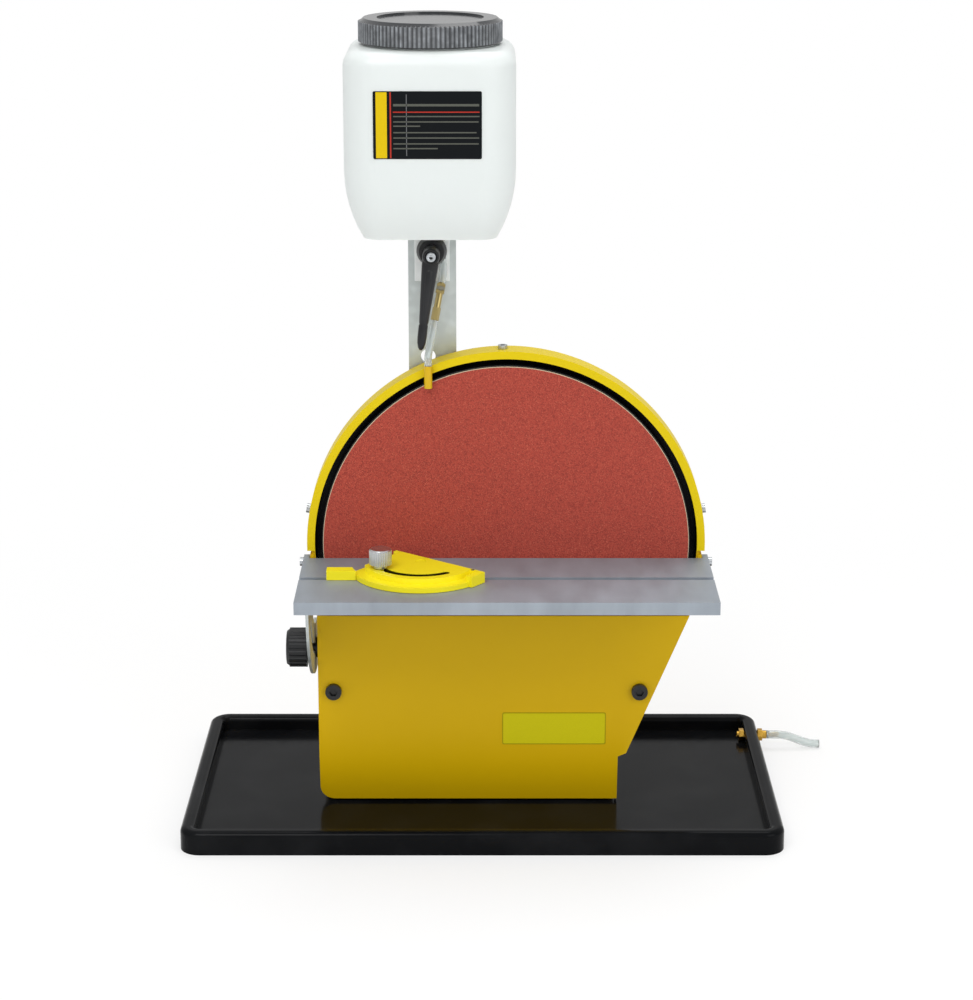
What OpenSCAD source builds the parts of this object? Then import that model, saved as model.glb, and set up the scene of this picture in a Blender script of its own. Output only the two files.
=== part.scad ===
// Bench disc grinder with a drip-feed coolant kit, standing in a drip tray.
// X runs to the right, Y to the back and Z up. The origin is on the ground, under the tray's middle.

/* [Drip tray] */
// Overall width of the tray
tray_w = 404; // [396:1:460]
// Overall depth of the tray
tray_d = 218; // [210:1:260]
// Height of the rim above the ground
tray_h = 16; // [15:0.5:22]
// Thickness of the moulded sheet
tray_wall = 2.5; // [2:0.1:3]
// Width of the rolled rim
rim_w = 10; // [9:0.5:14]
// Rounding of the rim's upper edges
rim_r = 4; // [3:0.1:4.5]
// Outer corner radius in plan
tray_corner_r = 14; // [14:0.5:20]
// Height of the basin floor's upper face
basin_z = 6; // [5:0.1:6]
// Diameter of the moulded pads under the floor
pad_d = 20; // [12:1:26]

/* [Drain] */
// Distance from the tray's back edge to the drain
drain_inset = 31; // [24:1:60]
// Diameter of the drain pipe
drain_d = 5; // [4:0.1:5]
// Bore of the drain pipe
drain_bore = 3; // [2:0.1:3.2]
// Width across flats of the drain nuts
drain_af = 8; // [7.5:0.1:8.5]
// Length of each drain nut
drain_nut_t = 3.5; // [2.5:0.1:5]
// Outer diameter of the drain hose
hose_d = 6; // [5.8:0.1:6.6]
// Bore of the drain hose
hose_bore = 3.8; // [3.6:0.1:4]
// Length of drain hose beyond the fitting's collar
hose_len = 39; // [36:1:60]

/* [Grinding disc] */
// Diameter of the disc
disc_d = 250; // [240:1:252]
// Thickness of the disc
disc_t = 8; // [6:0.5:8]
// Thickness of the abrasive sheet
sheet_t = 1; // [0.6:0.1:1.5]
// How far the sheet's edge stays inside the disc's edge
sheet_inset = 0.8; // [0.4:0.1:4]
// Diameter of the hub behind the disc
hub_d = 56; // [40:1:70]
// Height of the disc's axis above the ground
disc_z = 189; // [188:0.5:195]
// Sideways place of the disc's axis
disc_x = 16; // [10:0.5:18]
// Place of the grinding face, front to back
face_y = -22; // [-24:0.5:-21]

/* [Disc housing] */
// Outer radius of the round housing
drum_r = 132; // [131:0.5:136]
// Thickness of the housing walls
drum_wall = 2.3; // [1.5:0.1:3]
// Thickness of the back wall
back_t = 3; // [2:0.1:4]
// Free depth between the disc hub and the back wall
hub_gap = 2; // [1:0.1:4]
// Length of the disc hub
hub_len = 6; // [4:0.5:10]
// Height of the housing floor above the ground
housing_z = 12; // [11.5:0.5:14]

/* [Front cover] */
// Depth of the cover in front of the grinding face
cover_depth = 18; // [16:0.5:20]
// Thickness of the cover sheet
cover_t = 1.5; // [1:0.1:2]
// Left edge of the cover, from the disc axis
cover_left = 128; // [127:0.5:129]
// Right edge of the cover's foot, from the disc axis
cover_foot = 77; // [74:0.5:80]
// Height of the cover's lower edge
cover_z = 8; // [7.5:0.1:9]
// Height of the cover's upper edge
cover_top = 144; // [136:1:145]
// Height of the crease where the cover leans back
crease_z = 42; // [38:1:50]
// How far the lower edge leans back
lean = 7; // [4:0.5:9]
// Radius of the rounded lower left corner
cover_corner_r = 10; // [6:0.5:14]
// Depth of the cover's side flanges
flange_depth = 15; // [10:0.5:15.5]
// Gap between the cover's flanges and the housing
cover_gap = 0.3; // [0.2:0.05:0.6]
// Slope of the right-hand side, from the horizontal
slope = 67.3; // [64:0.1:70]
// Head diameter of the cover screws
cover_screw_head = 11; // [9:0.5:13]
// Height of the cover screws
cover_screw_z = 90; // [70:1:110]
// Distance of the cover screws from the cover's edges
cover_screw_inset = 10.5; // [9:0.5:13]

/* [Guard hood] */
// Outer radius of the hood
hood_r = 135; // [134.5:0.1:139]
// Gap between the hood and the round housing
hood_gap = 0.3; // [0.2:0.05:1]
// Thickness of the hood's front lip
lip_t = 2; // [1.5:0.1:2.4]
// Depth of the hood
hood_depth = 18; // [12:0.5:18.5]
// How far the hood's ends lie below the disc axis
hood_drop = 4; // [0:0.5:4]
// Angle of the side screws above the horizontal
hood_screw_angle = 10; // [6:1:30]
// Thread diameter of the hood screws
hood_screw_d = 3; // [2.5:0.1:4]

/* [Spindle drive] */
// Diameter of the spindle
spindle_d = 12; // [10:0.5:14]
// Outer diameter of the spindle's bearings
bearing_d = 32; // [28:1:34]
// Width of each bearing
bearing_w = 10; // [8:0.5:12]
// Length of the spindle housing
sleeve_len = 56; // [50:1:60]
// Outer diameter of the spindle housing
sleeve_d = 42; // [40:1:46]
// Diameter of the spindle housing's flange
sleeve_flange_d = 78; // [70:1:90]
// Thickness of the spindle housing's flange
sleeve_flange_t = 5; // [4:0.5:8]
// Running clearance on the shafts, on the radius
run_gap = 0.05; // [0.02:0.01:0.08]
// Pitch diameter of the driven pulley
driven_d = 60; // [48:1:64]
// Pitch diameter of the motor pulley
driver_d = 16; // [14:0.5:20]
// Width of the belt
belt_w = 8; // [6:0.5:9]
// Thickness of the belt
belt_t = 2.4; // [1.6:0.1:3]
// Distance between the spindle and the motor
belt_centres = 70; // [68:0.5:74]
// Diameter of the motor
motor_d = 54; // [46:1:56]
// Length of the motor
motor_len = 50; // [40:1:52]
// Diameter of the motor shaft
motor_shaft_d = 6; // [5:0.1:8]

/* [Rear housing] */
// Half width of the rear housing
rear_half_w = 72; // [64:1:74]
// Depth of the rear housing
rear_depth = 80; // [79:0.5:86]
// Height of the rear housing's top above the ground
rear_top = 236; // [228:1:238]
// Sheet thickness of the rear housing
rear_t = 1.5; // [1:0.1:2]
// Radius of the rear housing's upper corners
rear_r = 26; // [16:1:34]
// Number of ventilation slots
vent_count = 6; // [3:1:7]
// Length of each ventilation slot
vent_len = 60; // [40:1:80]
// Outer diameter of the extraction port
port_d = 38; // [34:1:40]
// Wall of the extraction port
port_wall = 2; // [1.5:0.1:3]
// Length of the extraction port
port_len = 32; // [20:1:44]
// Diameter of the speed dial
dial_d = 22; // [16:1:28]
// Diameter of the rubber feet
foot_d = 18; // [14:1:22]

/* [Work table] */
// Width of the table
table_w = 275; // [275:0.5:290]
// Depth of the table from the front edge to the recess for the disc
table_d = 93; // [80:1:94]
// Thickness of the table plate
plate_t = 5; // [4:0.1:5]
// Depth of the skirt under the front and side edges
skirt_h = 8.5; // [7.5:0.1:10]
// Thickness of the side skirts
skirt_t = 4; // [3.5:0.1:4]
// Drop of the table's top below the disc axis
table_drop = 9; // [8:0.5:9.5]
// Gap between the table and the grinding face
table_gap = 2; // [1.5:0.1:2.5]
// Length of the ears behind the tilt axis
ear_len = 6; // [4:0.5:6.5]
// Distance of the tilt axis behind the grinding face
pivot_back = 3; // [2.5:0.1:3.5]
// Bevel under the edge of the table next to the disc
bevel = 3; // [2.5:0.1:4]
// Drop of the tilt axis below the table's top
pivot_drop = 4; // [3.5:0.1:4.5]
// Diameter of the pivot screws' shoulder
pivot_d = 4; // [3:0.1:5]
// Width of the guide groove
groove_w = 5; // [4:0.5:7]
// Depth of the guide groove
groove_t = 3; // [2:0.1:3]
// Distance from the groove's middle to the recess edge
groove_back = 44; // [42:0.5:46]
// Downward tilt of the table
tilt_down = 50; // [30:1:50]
// Upward tilt of the table
tilt_up = 5; // [3:1:5]

/* [Tilt clamp] */
// Outer radius of the quadrant
quadrant_r = 76; // [72:1:80]
// Width of the quadrant's band
quadrant_band = 34; // [28:1:34]
// Thickness of the quadrant
quadrant_t = 2; // [1.5:0.1:2]
// Radius of the clamp slot about the tilt axis
slot_r = 59; // [56:0.5:60]
// Angle of the clamp bolt below the front horizontal
clamp_angle = 80; // [78:1:82]
// Diameter of the clamp bolt
clamp_bolt_d = 6; // [5:0.5:7]
// Diameter of the tilt knob
tilt_knob_d = 27; // [22:1:30]
// Length of the tilt knob
tilt_knob_len = 14; // [10:0.5:16]
// Number of flutes on the tilt knob
tilt_flutes = 18; // [12:1:24]

/* [Mitre gauge] */
// Radius of the gauge head about its pivot
head_r = 46; // [42:0.5:46]
// Height of the gauge head above the table
head_h = 7.5; // [6:0.1:9]
// Height of the head's outer step
step_h = 3.5; // [2.5:0.1:4.5]
// Width of the head's outer step
step_w = 8; // [6:0.5:8]
// Distance from the fence face to the pivot
fence_offset = 8; // [7:0.5:10]
// Reach of the fence towards the disc
fence_near = 28; // [24:0.5:28]
// Rest angle of the fence to the disc
fence_angle = 38; // [30:1:42]
// Sideways place of the gauge's pivot from the disc axis
gauge_x = -57; // [-60:1:40]
// Distance from the groove's middle back to the gauge's pivot
gauge_back = 14.5; // [13:0.5:15]
// Radius of the head's arc slot
arc_r = 30; // [28:0.5:31]
// Width of the head's arc slot
arc_w = 5.2; // [5.2:0.1:6.5]
// Width of the guide bar
bar_w = 8; // [6:0.5:10]
// Length of the guide bar beyond the head
bar_out = 16; // [10:1:26]
// Diameter of the gauge knob
gauge_knob_d = 15; // [12:0.5:18]

/* [Coolant post] */
// Sideways place of the post from the disc axis
post_dx = -49.5; // [-52:0.5:-44]
// Width of the post
post_w = 32; // [28:1:36]
// Thickness of the post
post_t = 4; // [3:0.5:5]
// Height of the post's top
post_top = 400; // [398:1:402]
// Height of the post's foot
post_foot = 241; // [239:1:246]
// Diameter of the spare hole in the post
post_hole_d = 10; // [6:0.5:12]
// Width of the bottle bracket
strap_w = 23.4; // [20:0.5:26]
// Thickness of the bottle bracket
strap_t = 2; // [1.5:0.1:2.5]
// Height of the clamp lever's axis
lever_z = 390; // [389:0.5:391]
// Length of the clamp lever
lever_len = 60; // [50:1:60]
// Diameter of the lever's bolt
lever_bolt_d = 5; // [4:0.5:5]
// Travel of the bottle upwards
rise = 11; // [4:0.5:12]
// Travel of the bottle downwards
drop = 3; // [2:0.5:3]

/* [Coolant bottle] */
// Width and depth of the bottle
bottle_w = 110.5; // [104:0.5:116]
// Height of the bottle's shoulder above its bottom
bottle_h = 121; // [100:1:140]
// Wall thickness of the bottle
bottle_wall = 2; // [1.5:0.1:3]
// Corner radius of the bottle in plan
bottle_corner_r = 24; // [16:1:30]
// Height over which the bottle draws in at its foot
heel_h = 44; // [16:1:50]
// How far the bottle draws in at its foot
heel_in = 12; // [5:0.5:12]
// Radius of the bottle's shoulder
shoulder_r = 10; // [6:0.5:11]
// Diameter of the bottle's neck
neck_d = 86; // [80:0.5:88]
// Diameter of the lid
lid_d = 93.6; // [92:0.1:98]
// Height of the lid
lid_h = 16; // [13:0.5:20]
// Number of ribs round the lid
lid_ribs = 96; // [60:12:120]

/* [Coolant feed] */
// Outer diameter of the clear tubes
tube_d = 5; // [4.6:0.1:5]
// Bore of the clear tubes
tube_bore = 3.2; // [3:0.1:3.4]
// Diameter of the nozzle
nozzle_d = 5.4; // [4.6:0.1:6]
// Length of the nozzle's body
nozzle_len = 15; // [12:0.5:18]
// Lean of the valve to the left
valve_lean = 11; // [6:1:14]
// Forward pitch of the valve
valve_pitch = 18; // [12:1:20]

/* [Hidden] */
$fn = 96;

// Small overlap that lets one solid run into the next
eps = 0.5;
// Clearance between pieces that sit face to face
seat_gap = 0.1;
// Clearance between bodies that move past each other
free_gap = 0.4;

// Drip tray
basin_w = tray_w - 2 * rim_w;
basin_d = tray_d - 2 * rim_w;
pad_x = tray_w * 0.28;
pad_y = tray_d * 0.3;
drain_y = tray_d / 2 - drain_inset;
drain_z = basin_z + drain_af / 2 + 0.7;
collar_t = 3;
barb_len = 9;

// Front to back
disc_front_y = face_y + sheet_t;
disc_back_y = disc_front_y + disc_t;
back_wall_y = disc_back_y + hub_len + hub_gap;
rear_face_y = back_wall_y + back_t;
drum_front_y = disc_front_y - 0.5;
cover_y = face_y - cover_depth;
lip_y = drum_front_y - seat_gap - lip_t;
sleeve_end_y = rear_face_y + sleeve_len;
motor_plate_t = 3;
pulley_y = sleeve_end_y + motor_plate_t + 3;
pulley_w = belt_w + 3;
rear_end_y = rear_face_y + rear_depth;
motor_z = disc_z - belt_centres;
motor_y = sleeve_end_y - motor_len;

// Outline of the lower housing
cover_foot_x = disc_x + cover_foot;
cover_left_x = disc_x - cover_left;
step_out = 2.5;
body_top = disc_z - 38;
skin_gap = cover_t + cover_gap;

// Base and fasteners
base_t = 2;
base_z = housing_z - base_t;
base_front_y = cover_y + lean + skin_gap + 4;
foot_x0 = cover_left_x + 26;
foot_x1 = cover_foot_x - 20;
foot_y0 = base_front_y + 13;
foot_y1 = rear_end_y - 16;
floor_slot_x = (foot_x0 + foot_x1) / 2;
floor_slot_y = base_front_y + 6;
sleeve_pcd_r = (sleeve_flange_d + sleeve_d) / 4;
sleeve_screw_r = sleeve_d / 2 - 2.5;
rear_screw_z = [housing_z + 16, rear_top - 40];
post_screw_z = [post_foot + 12, post_foot + 44];
hood_screw_angles = [hood_screw_angle, 91, 180 - hood_screw_angle];
hood_screw_y = lip_y + hood_depth / 2;
nozzle_pin_r = 1.7;
spindle_y = disc_front_y + 5;
bracket_x = 44;
bracket_end_y = rear_face_y + 52;
port_x = disc_x - 98;
port_z = 64;
switch_y = rear_face_y + 30;
switch_z = rear_top - rear_r - 17;
dial_y = rear_face_y + 58;
dial_z = switch_z;
side_x = disc_x + rear_half_w;
board_x = side_x - rear_t - 6;
gland_x = disc_x + 46;
gland_z = housing_z + 28;

// Work table
table_z = disc_z - table_drop;
table_back_y = face_y - table_gap;
table_front_y = table_back_y - table_d;
pivot_z = table_z - pivot_drop;
pivot_y = face_y + pivot_back;
lug_x = table_w / 2 - skirt_t - free_gap;
groove_y = table_back_y - groove_back;
skirt_front_t = 3;

// Tilt clamp
quadrant_x = cover_left_x - 1.8 - quadrant_t;
bush_r = 7;
clamp_y = pivot_y - slot_r * cos(clamp_angle);
clamp_z = pivot_z - slot_r * sin(clamp_angle);
knob_x = quadrant_x - free_gap;
knob_stem = 3.2;
flange_y0 = pivot_y - quadrant_r + 3;
flange_y1 = pivot_y - quadrant_r + quadrant_band;
quadrant_screw_y = [flange_y0 + 6, flange_y1 - 6];
quadrant_from = 2.5;
quadrant_to = 96;

// Mitre gauge
head_x = disc_x + gauge_x;
head_y = groove_y + gauge_back;
head_z = table_z + 0.3;
arc_angle = 180 + asin(gauge_back / arc_r);
stud_x = head_x + arc_r * cos(arc_angle);
recess_h = 2;
recess_r = head_r - step_w - 1;
bar_h = 6.5;
gauge_stud_d = 4.6;
plate_h = 1.6;

// Coolant post and bottle
post_x = disc_x + post_dx;
strap_y = rear_face_y - strap_t;
shelf_z = post_top + 4;
bottle_z = shelf_z + strap_t;
bottle_y = strap_y + strap_t - 14;
tube_x = post_x + 6.4;
tube_y = strap_y - 4;
boss_y = tube_y - tube_d / 2 - 2.5;
boss_t = 6;
boss_r = 10.3;
lever_y = boss_y - boss_t;
lever_hub_len = 17;
strap_foot = lever_z - 22.3;
spare_z = lever_z - 74.3;
shelf_front_y = bottle_y - 26;
neck_h = 12.4;
lid_z = bottle_z + bottle_h + 1;
lid_wall = 1.2;

// Coolant feed
valve_c = [tube_x - 0.7, tube_y - 4, shelf_z - 39.7];
valve_dir = [-cos(valve_pitch) * sin(valve_lean), -sin(valve_pitch), -cos(valve_pitch) * cos(valve_lean)];
nozzle_x = disc_x - 52;
nozzle_y = lip_y - seat_gap - nozzle_d / 2;
lip_mid_r = (drum_r - drum_wall + hood_r) / 2;
nozzle_pin_z = disc_z + sqrt(lip_mid_r * lip_mid_r - pow(nozzle_x - disc_x, 2));
nozzle_top = nozzle_pin_z + nozzle_len * 0.27;
barb_d = tube_bore - 0.3;

// ---------- helpers ----------

// Carries an outline drawn in X and Z from y0 back to y1
module along_y(y0, y1) {
    translate([0, y1, 0]) rotate([90, 0, 0]) linear_extrude(y1 - y0) children();
}

// Carries an outline drawn in Y and Z from x0 to x1
module along_x(x0, x1) {
    translate([x0, 0, 0]) rotate([90, 0, 90]) linear_extrude(x1 - x0) children();
}

// Round bar along Y, from y0 to y1
module rod_y(x, z, r, y0, y1) {
    translate([x, y0, z]) rotate([-90, 0, 0]) cylinder(r = r, h = y1 - y0);
}

// Round bar along X, from x0 to x1
module rod_x(y, z, r, x0, x1) {
    translate([x0, y, z]) rotate([0, 90, 0]) cylinder(r = r, h = x1 - x0);
}

// Round bar along Z, from z0 to z1
module rod_z(x, y, r, z0, z1) {
    translate([x, y, z0]) cylinder(r = r, h = z1 - z0);
}

// Rectangle with round corners, about the origin
module round_rect(w, d, r) {
    square([w - 2 * r, d], center = true);
    square([w, d - 2 * r], center = true);
    for (sx = [-1, 1], sy = [-1, 1])
        translate([sx * (w / 2 - r), sy * (d / 2 - r)]) circle(r);
}

// Slot with round ends between two points
module slot_2d(a, b, w) {
    d = b - a;
    translate(a) circle(w / 2);
    translate(b) circle(w / 2);
    translate(a) rotate(atan2(d[1], d[0])) translate([0, -w / 2]) square([norm(d), w]);
}

// Sector of a circle from angle a0 to a1
module sector(r, a0, a1) {
    steps = 6;
    reach = r / cos((a1 - a0) / (2 * steps));
    intersection() {
        circle(r);
        polygon(concat([[0, 0]],
            [for (i = [0:steps]) let (a = a0 + (a1 - a0) * i / steps) reach * 1.05 * [cos(a), sin(a)]]));
    }
}

// Ring sector with round ends, a curved slot
module arc_slot(r, w, a0, a1) {
    difference() {
        sector(r + w / 2, a0, a1);
        circle(r - w / 2);
    }
    for (a = [a0, a1]) translate(r * [cos(a), sin(a)]) circle(w / 2 - 0.05);
}

// Point on a cubic curve through four control points
function bezier(p, t) = pow(1 - t, 3) * p[0] + 3 * t * pow(1 - t, 2) * p[1]
    + 3 * t * t * (1 - t) * p[2] + pow(t, 3) * p[3];
function unit(v) = v / norm(v);
function ring(c, dir, side, r, n) = let (u = unit(cross(dir, side)), v = cross(dir, u))
    [for (k = [0:n - 1]) c + r * (cos(360 * k / n) * u + sin(360 * k / n) * v)];

// Direction of a path at its point i
function along(path, i) = unit(path[min(i + 1, len(path) - 1)] - path[max(i - 1, 0)]);

// Path from a, leaving along da, to b, leaving it along db, with straight ends
function bend(a, da, b, db, straight, arm, steps) = let (
    p = [a + da * straight, a + da * (straight + arm), b + db * (straight + arm), b + db * straight])
    concat([a, a + da * straight / 2], [for (i = [0:steps]) bezier(p, i / steps)],
        [b + db * straight / 2, b]);

// Open tube swept along a path of points
module tube(path, side, od, bore, n) {
    rings = len(path) - 1;
    outer = [for (i = [0:rings]) each ring(path[i], along(path, i), side, od / 2, n)];
    inner = [for (i = [0:rings]) each ring(path[i], along(path, i), side, bore / 2, n)];
    m = (rings + 1) * n;
    last = rings * n;
    faces = concat(
        [for (i = [0:rings - 1], k = [0:n - 1])
            [i * n + k, i * n + (k + 1) % n, (i + 1) * n + (k + 1) % n, (i + 1) * n + k]],
        [for (i = [0:rings - 1], k = [0:n - 1])
            [m + i * n + k, m + (i + 1) * n + k, m + (i + 1) * n + (k + 1) % n, m + i * n + (k + 1) % n]],
        [for (k = [0:n - 1]) [k, m + k, m + (k + 1) % n, (k + 1) % n]],
        [for (k = [0:n - 1]) [last + k, last + (k + 1) % n, m + last + (k + 1) % n, m + last + k]]);
    polyhedron(points = concat(outer, inner), faces = faces, convexity = 6);
}

// Wheel outline with n shallow flutes
module fluted(r, n, flute_r, depth) {
    difference() {
        circle(r);
        for (i = [0:n - 1]) rotate(360 * i / n) translate([r + flute_r - depth, 0]) circle(flute_r, $fn = 24);
    }
}

// Screw with a socket head: its head stands on z = 0 and its shank points down
module socket_screw(d, head_d, head_h, len) {
    difference() {
        union() {
            cylinder(d = head_d, h = head_h);
            translate([0, 0, -len]) cylinder(d = d, h = len + eps);
        }
        translate([0, 0, head_h * 0.4]) cylinder(d = head_d * 0.52, h = head_h, $fn = 6);
    }
}

// ---------- drip tray and drain ----------

// Section of the rolled rim: x runs inwards from the outer face, y is the height
module rim_section() {
    module outline(g) {
        for (x = [rim_r, rim_w - rim_r]) translate([x, tray_h - rim_r]) circle(rim_r - g);
        translate([rim_r, -1]) square([rim_w - 2 * rim_r, tray_h - g + 1]);
        translate([g, -1]) square([rim_w - 2 * g, tray_h - rim_r + 1]);
    }
    difference() {
        outline(0);
        outline(tray_wall);
        translate([-1, -2]) square([rim_w + 2, 2]);
        translate([tray_wall + 1, -2]) square([rim_w, basin_z - tray_wall + 2]);
    }
}

module drip_tray() color("#1b1b1c") {
    difference() {
        union() {
            for (i = [0:3]) {
                half = i % 2 == 0 ? [tray_w / 2, tray_d / 2] : [tray_d / 2, tray_w / 2];
                run = half[1] - tray_corner_r;
                rotate(90 * i) {
                    translate([half[0], -run, 0]) rotate([90, 0, 180]) linear_extrude(2 * run) rim_section();
                    translate([half[0] - tray_corner_r, run, 0]) rotate_extrude(angle = 90)
                        translate([tray_corner_r, 0]) mirror([1, 0]) rim_section();
                }
            }
            translate([0, 0, basin_z - tray_wall]) linear_extrude(tray_wall)
                round_rect(basin_w + 2 * eps, basin_d + 2 * eps, tray_corner_r - rim_w + eps);
            for (sx = [-1, 1], sy = [-1, 1])
                rod_z(sx * pad_x, sy * pad_y, pad_d / 2, 0, basin_z - tray_wall + eps);
        }
        rod_x(drain_y, drain_z, drain_d / 2 + seat_gap, basin_w / 2 - 1, tray_w / 2 + 1);
    }
}

// Hexagon along X
module hex_x(y, z, af, x0, x1) {
    translate([x0, y, z]) rotate([0, 90, 0]) rotate(30) cylinder(r = af / sqrt(3), h = x1 - x0, $fn = 6);
}

module drain_fitting() color("#b8923f") {
    hex_end = tray_w / 2 + seat_gap + drain_nut_t;
    collar_end = hex_end + collar_t;
    difference() {
        union() {
            rod_x(drain_y, drain_z, drain_d / 2, basin_w / 2 - drain_nut_t - 1.5, hex_end);
            hex_x(drain_y, drain_z, drain_af, tray_w / 2 + seat_gap, hex_end);
            rod_x(drain_y, drain_z, drain_af * 0.38, hex_end - eps, collar_end);
            rod_x(drain_y, drain_z, hose_bore / 2 - 0.15, collar_end - eps, collar_end + barb_len);
        }
        rod_x(drain_y, drain_z, drain_bore / 2, 0, tray_w);
    }
}

module drain_nut() color("#b8923f") difference() {
    hex_x(drain_y, drain_z, drain_af, basin_w / 2 - seat_gap - drain_nut_t, basin_w / 2 - seat_gap);
    rod_x(drain_y, drain_z, drain_d / 2 + run_gap, 0, tray_w);
}

module drain_hose() color("#e8ecec") {
    start = tray_w / 2 + 2 * seat_gap + drain_nut_t + collar_t;
    fall = drain_z - hose_d / 2 - 0.4;
    run = hose_len - 6;
    sag = [[6, 0, 0], [6 + run * 0.45, 0, 0], [6 + run * 0.55, 0, -fall], [hose_len, 0, -fall]];
    route = concat([[0, 0, 0], [3, 0, 0]], [for (i = [0:13]) bezier(sag, i / 13)]);
    tube([for (p = route) [start, drain_y, drain_z] + p], [0, 1, 0], hose_d, hose_bore, 12);
}

// ---------- base ----------

// Places the four feet, and the drain slots of the housing floor
module at_feet() for (x = [foot_x0, foot_x1], y = [foot_y0, foot_y1]) translate([x, y, 0]) children();
module floor_slots(z0, z1) {
    for (i = [-1:1]) translate([floor_slot_x + i * 44 - 14, floor_slot_y, z0]) cube([28, 7, z1 - z0]);
}

module base_plate() color("#c9a800") difference() {
    translate([cover_left_x + 8, base_front_y, base_z])
        cube([cover_foot_x - cover_left_x - 12, rear_end_y - base_front_y, base_t]);
    at_feet() translate([0, 0, base_z - 1]) cylinder(r = 3.1, h = base_t + 2);
    floor_slots(base_z - 1, housing_z + 1);
}

module rubber_feet() color("#222222") at_feet() {
    translate([0, 0, basin_z]) cylinder(d = foot_d, h = base_z - basin_z);
    translate([0, 0, base_z - eps]) cylinder(r = 3, h = base_t + eps);
}

// ---------- disc housing, cover and hood ----------

// Sideways place of the sloping side at height z, at distance d from the disc axis
function slope_x(d, z) = disc_x + (d + (z - disc_z) * cos(slope)) / sin(slope);

// Lower outline, set in by g from the cover's outer face
module lower_outline(g, z0, z1) {
    foot_x = cover_foot_x - g;
    knee_z = crease_z + step_out;
    polygon([[cover_left_x + g, z1], [cover_left_x + g, z0], [foot_x, z0], [foot_x, crease_z],
        [slope_x(drum_r - g, knee_z), knee_z], [slope_x(drum_r - g, z1), z1]]);
}

// Side outline in Y and Z, set in by g from the cover's front face
module side_outline(g, y1, z0, z1) {
    foot = lean * (crease_z - z0) / (crease_z - cover_z);
    polygon([[cover_y + g, z1], [cover_y + g, crease_z], [cover_y + foot + g, z0], [y1, z0], [y1, z1]]);
}

module round_outline(r) translate([disc_x, disc_z]) circle(r);

// Heads of the cover screws, left and right
function cover_screw_x() = [cover_left_x + cover_screw_inset,
    slope_x(drum_r, cover_screw_z) - cover_screw_inset];

module disc_housing() color("#d9b400") {
    inner = skin_gap + drum_wall;
    difference() {
        union() {
            along_y(back_wall_y, rear_face_y) {
                round_outline(drum_r);
                lower_outline(skin_gap, housing_z, body_top);
            }
            along_y(drum_front_y, back_wall_y + eps) difference() {
                union() {
                    round_outline(drum_r);
                    lower_outline(skin_gap, housing_z, body_top);
                }
                round_outline(drum_r - drum_wall);
                lower_outline(inner, housing_z + drum_wall, body_top);
            }
            intersection() {
                along_y(cover_y, drum_front_y + eps) difference() {
                    lower_outline(skin_gap, housing_z, cover_top);
                    lower_outline(inner, housing_z + drum_wall, cover_top + 1);
                }
                along_x(cover_left_x, slope_x(drum_r, cover_top))
                    side_outline(skin_gap, drum_front_y + eps, housing_z, cover_top);
            }
            // lugs for the cover screws
            for (side = [0, 1]) {
                x = cover_screw_x()[side];
                edge = side == 0 ? cover_left_x + skin_gap + 0.5
                    : slope_x(drum_r - skin_gap, cover_screw_z - 6) - 0.5;
                along_y(cover_y + cover_t + seat_gap, cover_y + 11)
                    translate([min(x - 6, edge), cover_screw_z - 6])
                    square([max(x + 6, edge) - min(x - 6, edge), 12]);
            }
            // lugs for the table's pivot screws
            for (side = [-1, 1]) difference() {
                translate([disc_x + side * (lug_x + drum_r - 6) / 2 - (lug_x - drum_r + 6) / 2,
                    pivot_y - 4, pivot_z - 6]) cube([lug_x - drum_r + 6, 15.5, 12]);
                rod_y(disc_x, disc_z, drum_r - drum_wall / 2, cover_y, rear_face_y);
            }
        }
        for (x = cover_screw_x()) rod_y(x, cover_screw_z, 2.04, cover_y, cover_y + 14);
        for (side = [-1, 1]) rod_x(pivot_y, pivot_z, pivot_d / 2 + 0.02,
            disc_x + side * drum_r - 8, disc_x + side * drum_r + 8);
        rod_y(disc_x, disc_z, spindle_d / 2 + 4, back_wall_y - 1, rear_face_y + 1);
        at_sleeve_screws(back_wall_y - 1, rear_face_y + 1, 2.1);
        at_rear_screws(back_wall_y - 1, rear_face_y + 1, 2.1);
        for (z = post_screw_z) rod_y(post_x, z, 2.6, back_wall_y - 1, rear_face_y + 1);
        for (a = hood_screw_angles) at_hood_screw(a) translate([0, 0, -6]) cylinder(r = hood_screw_d / 2 + 0.03, h = 12);
        rod_y(port_x, port_z, port_d / 2 - port_wall, back_wall_y - 1, rear_face_y + 1);
        rod_x(clamp_y, clamp_z, clamp_bolt_d / 2 + 0.03, cover_left_x - 1, cover_left_x + 12);
        floor_slots(base_z, housing_z + drum_wall + 1);
        // corner rounded to clear the cover's
        along_y(cover_y - 1, rear_face_y + 1) translate([cover_left_x + cover_corner_r, cover_z + cover_corner_r])
            difference() {
                translate([-cover_corner_r - 1, -cover_corner_r - 1]) square(cover_corner_r + 1);
                circle(cover_corner_r - cover_t - seat_gap);
            }
    }
}

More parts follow.
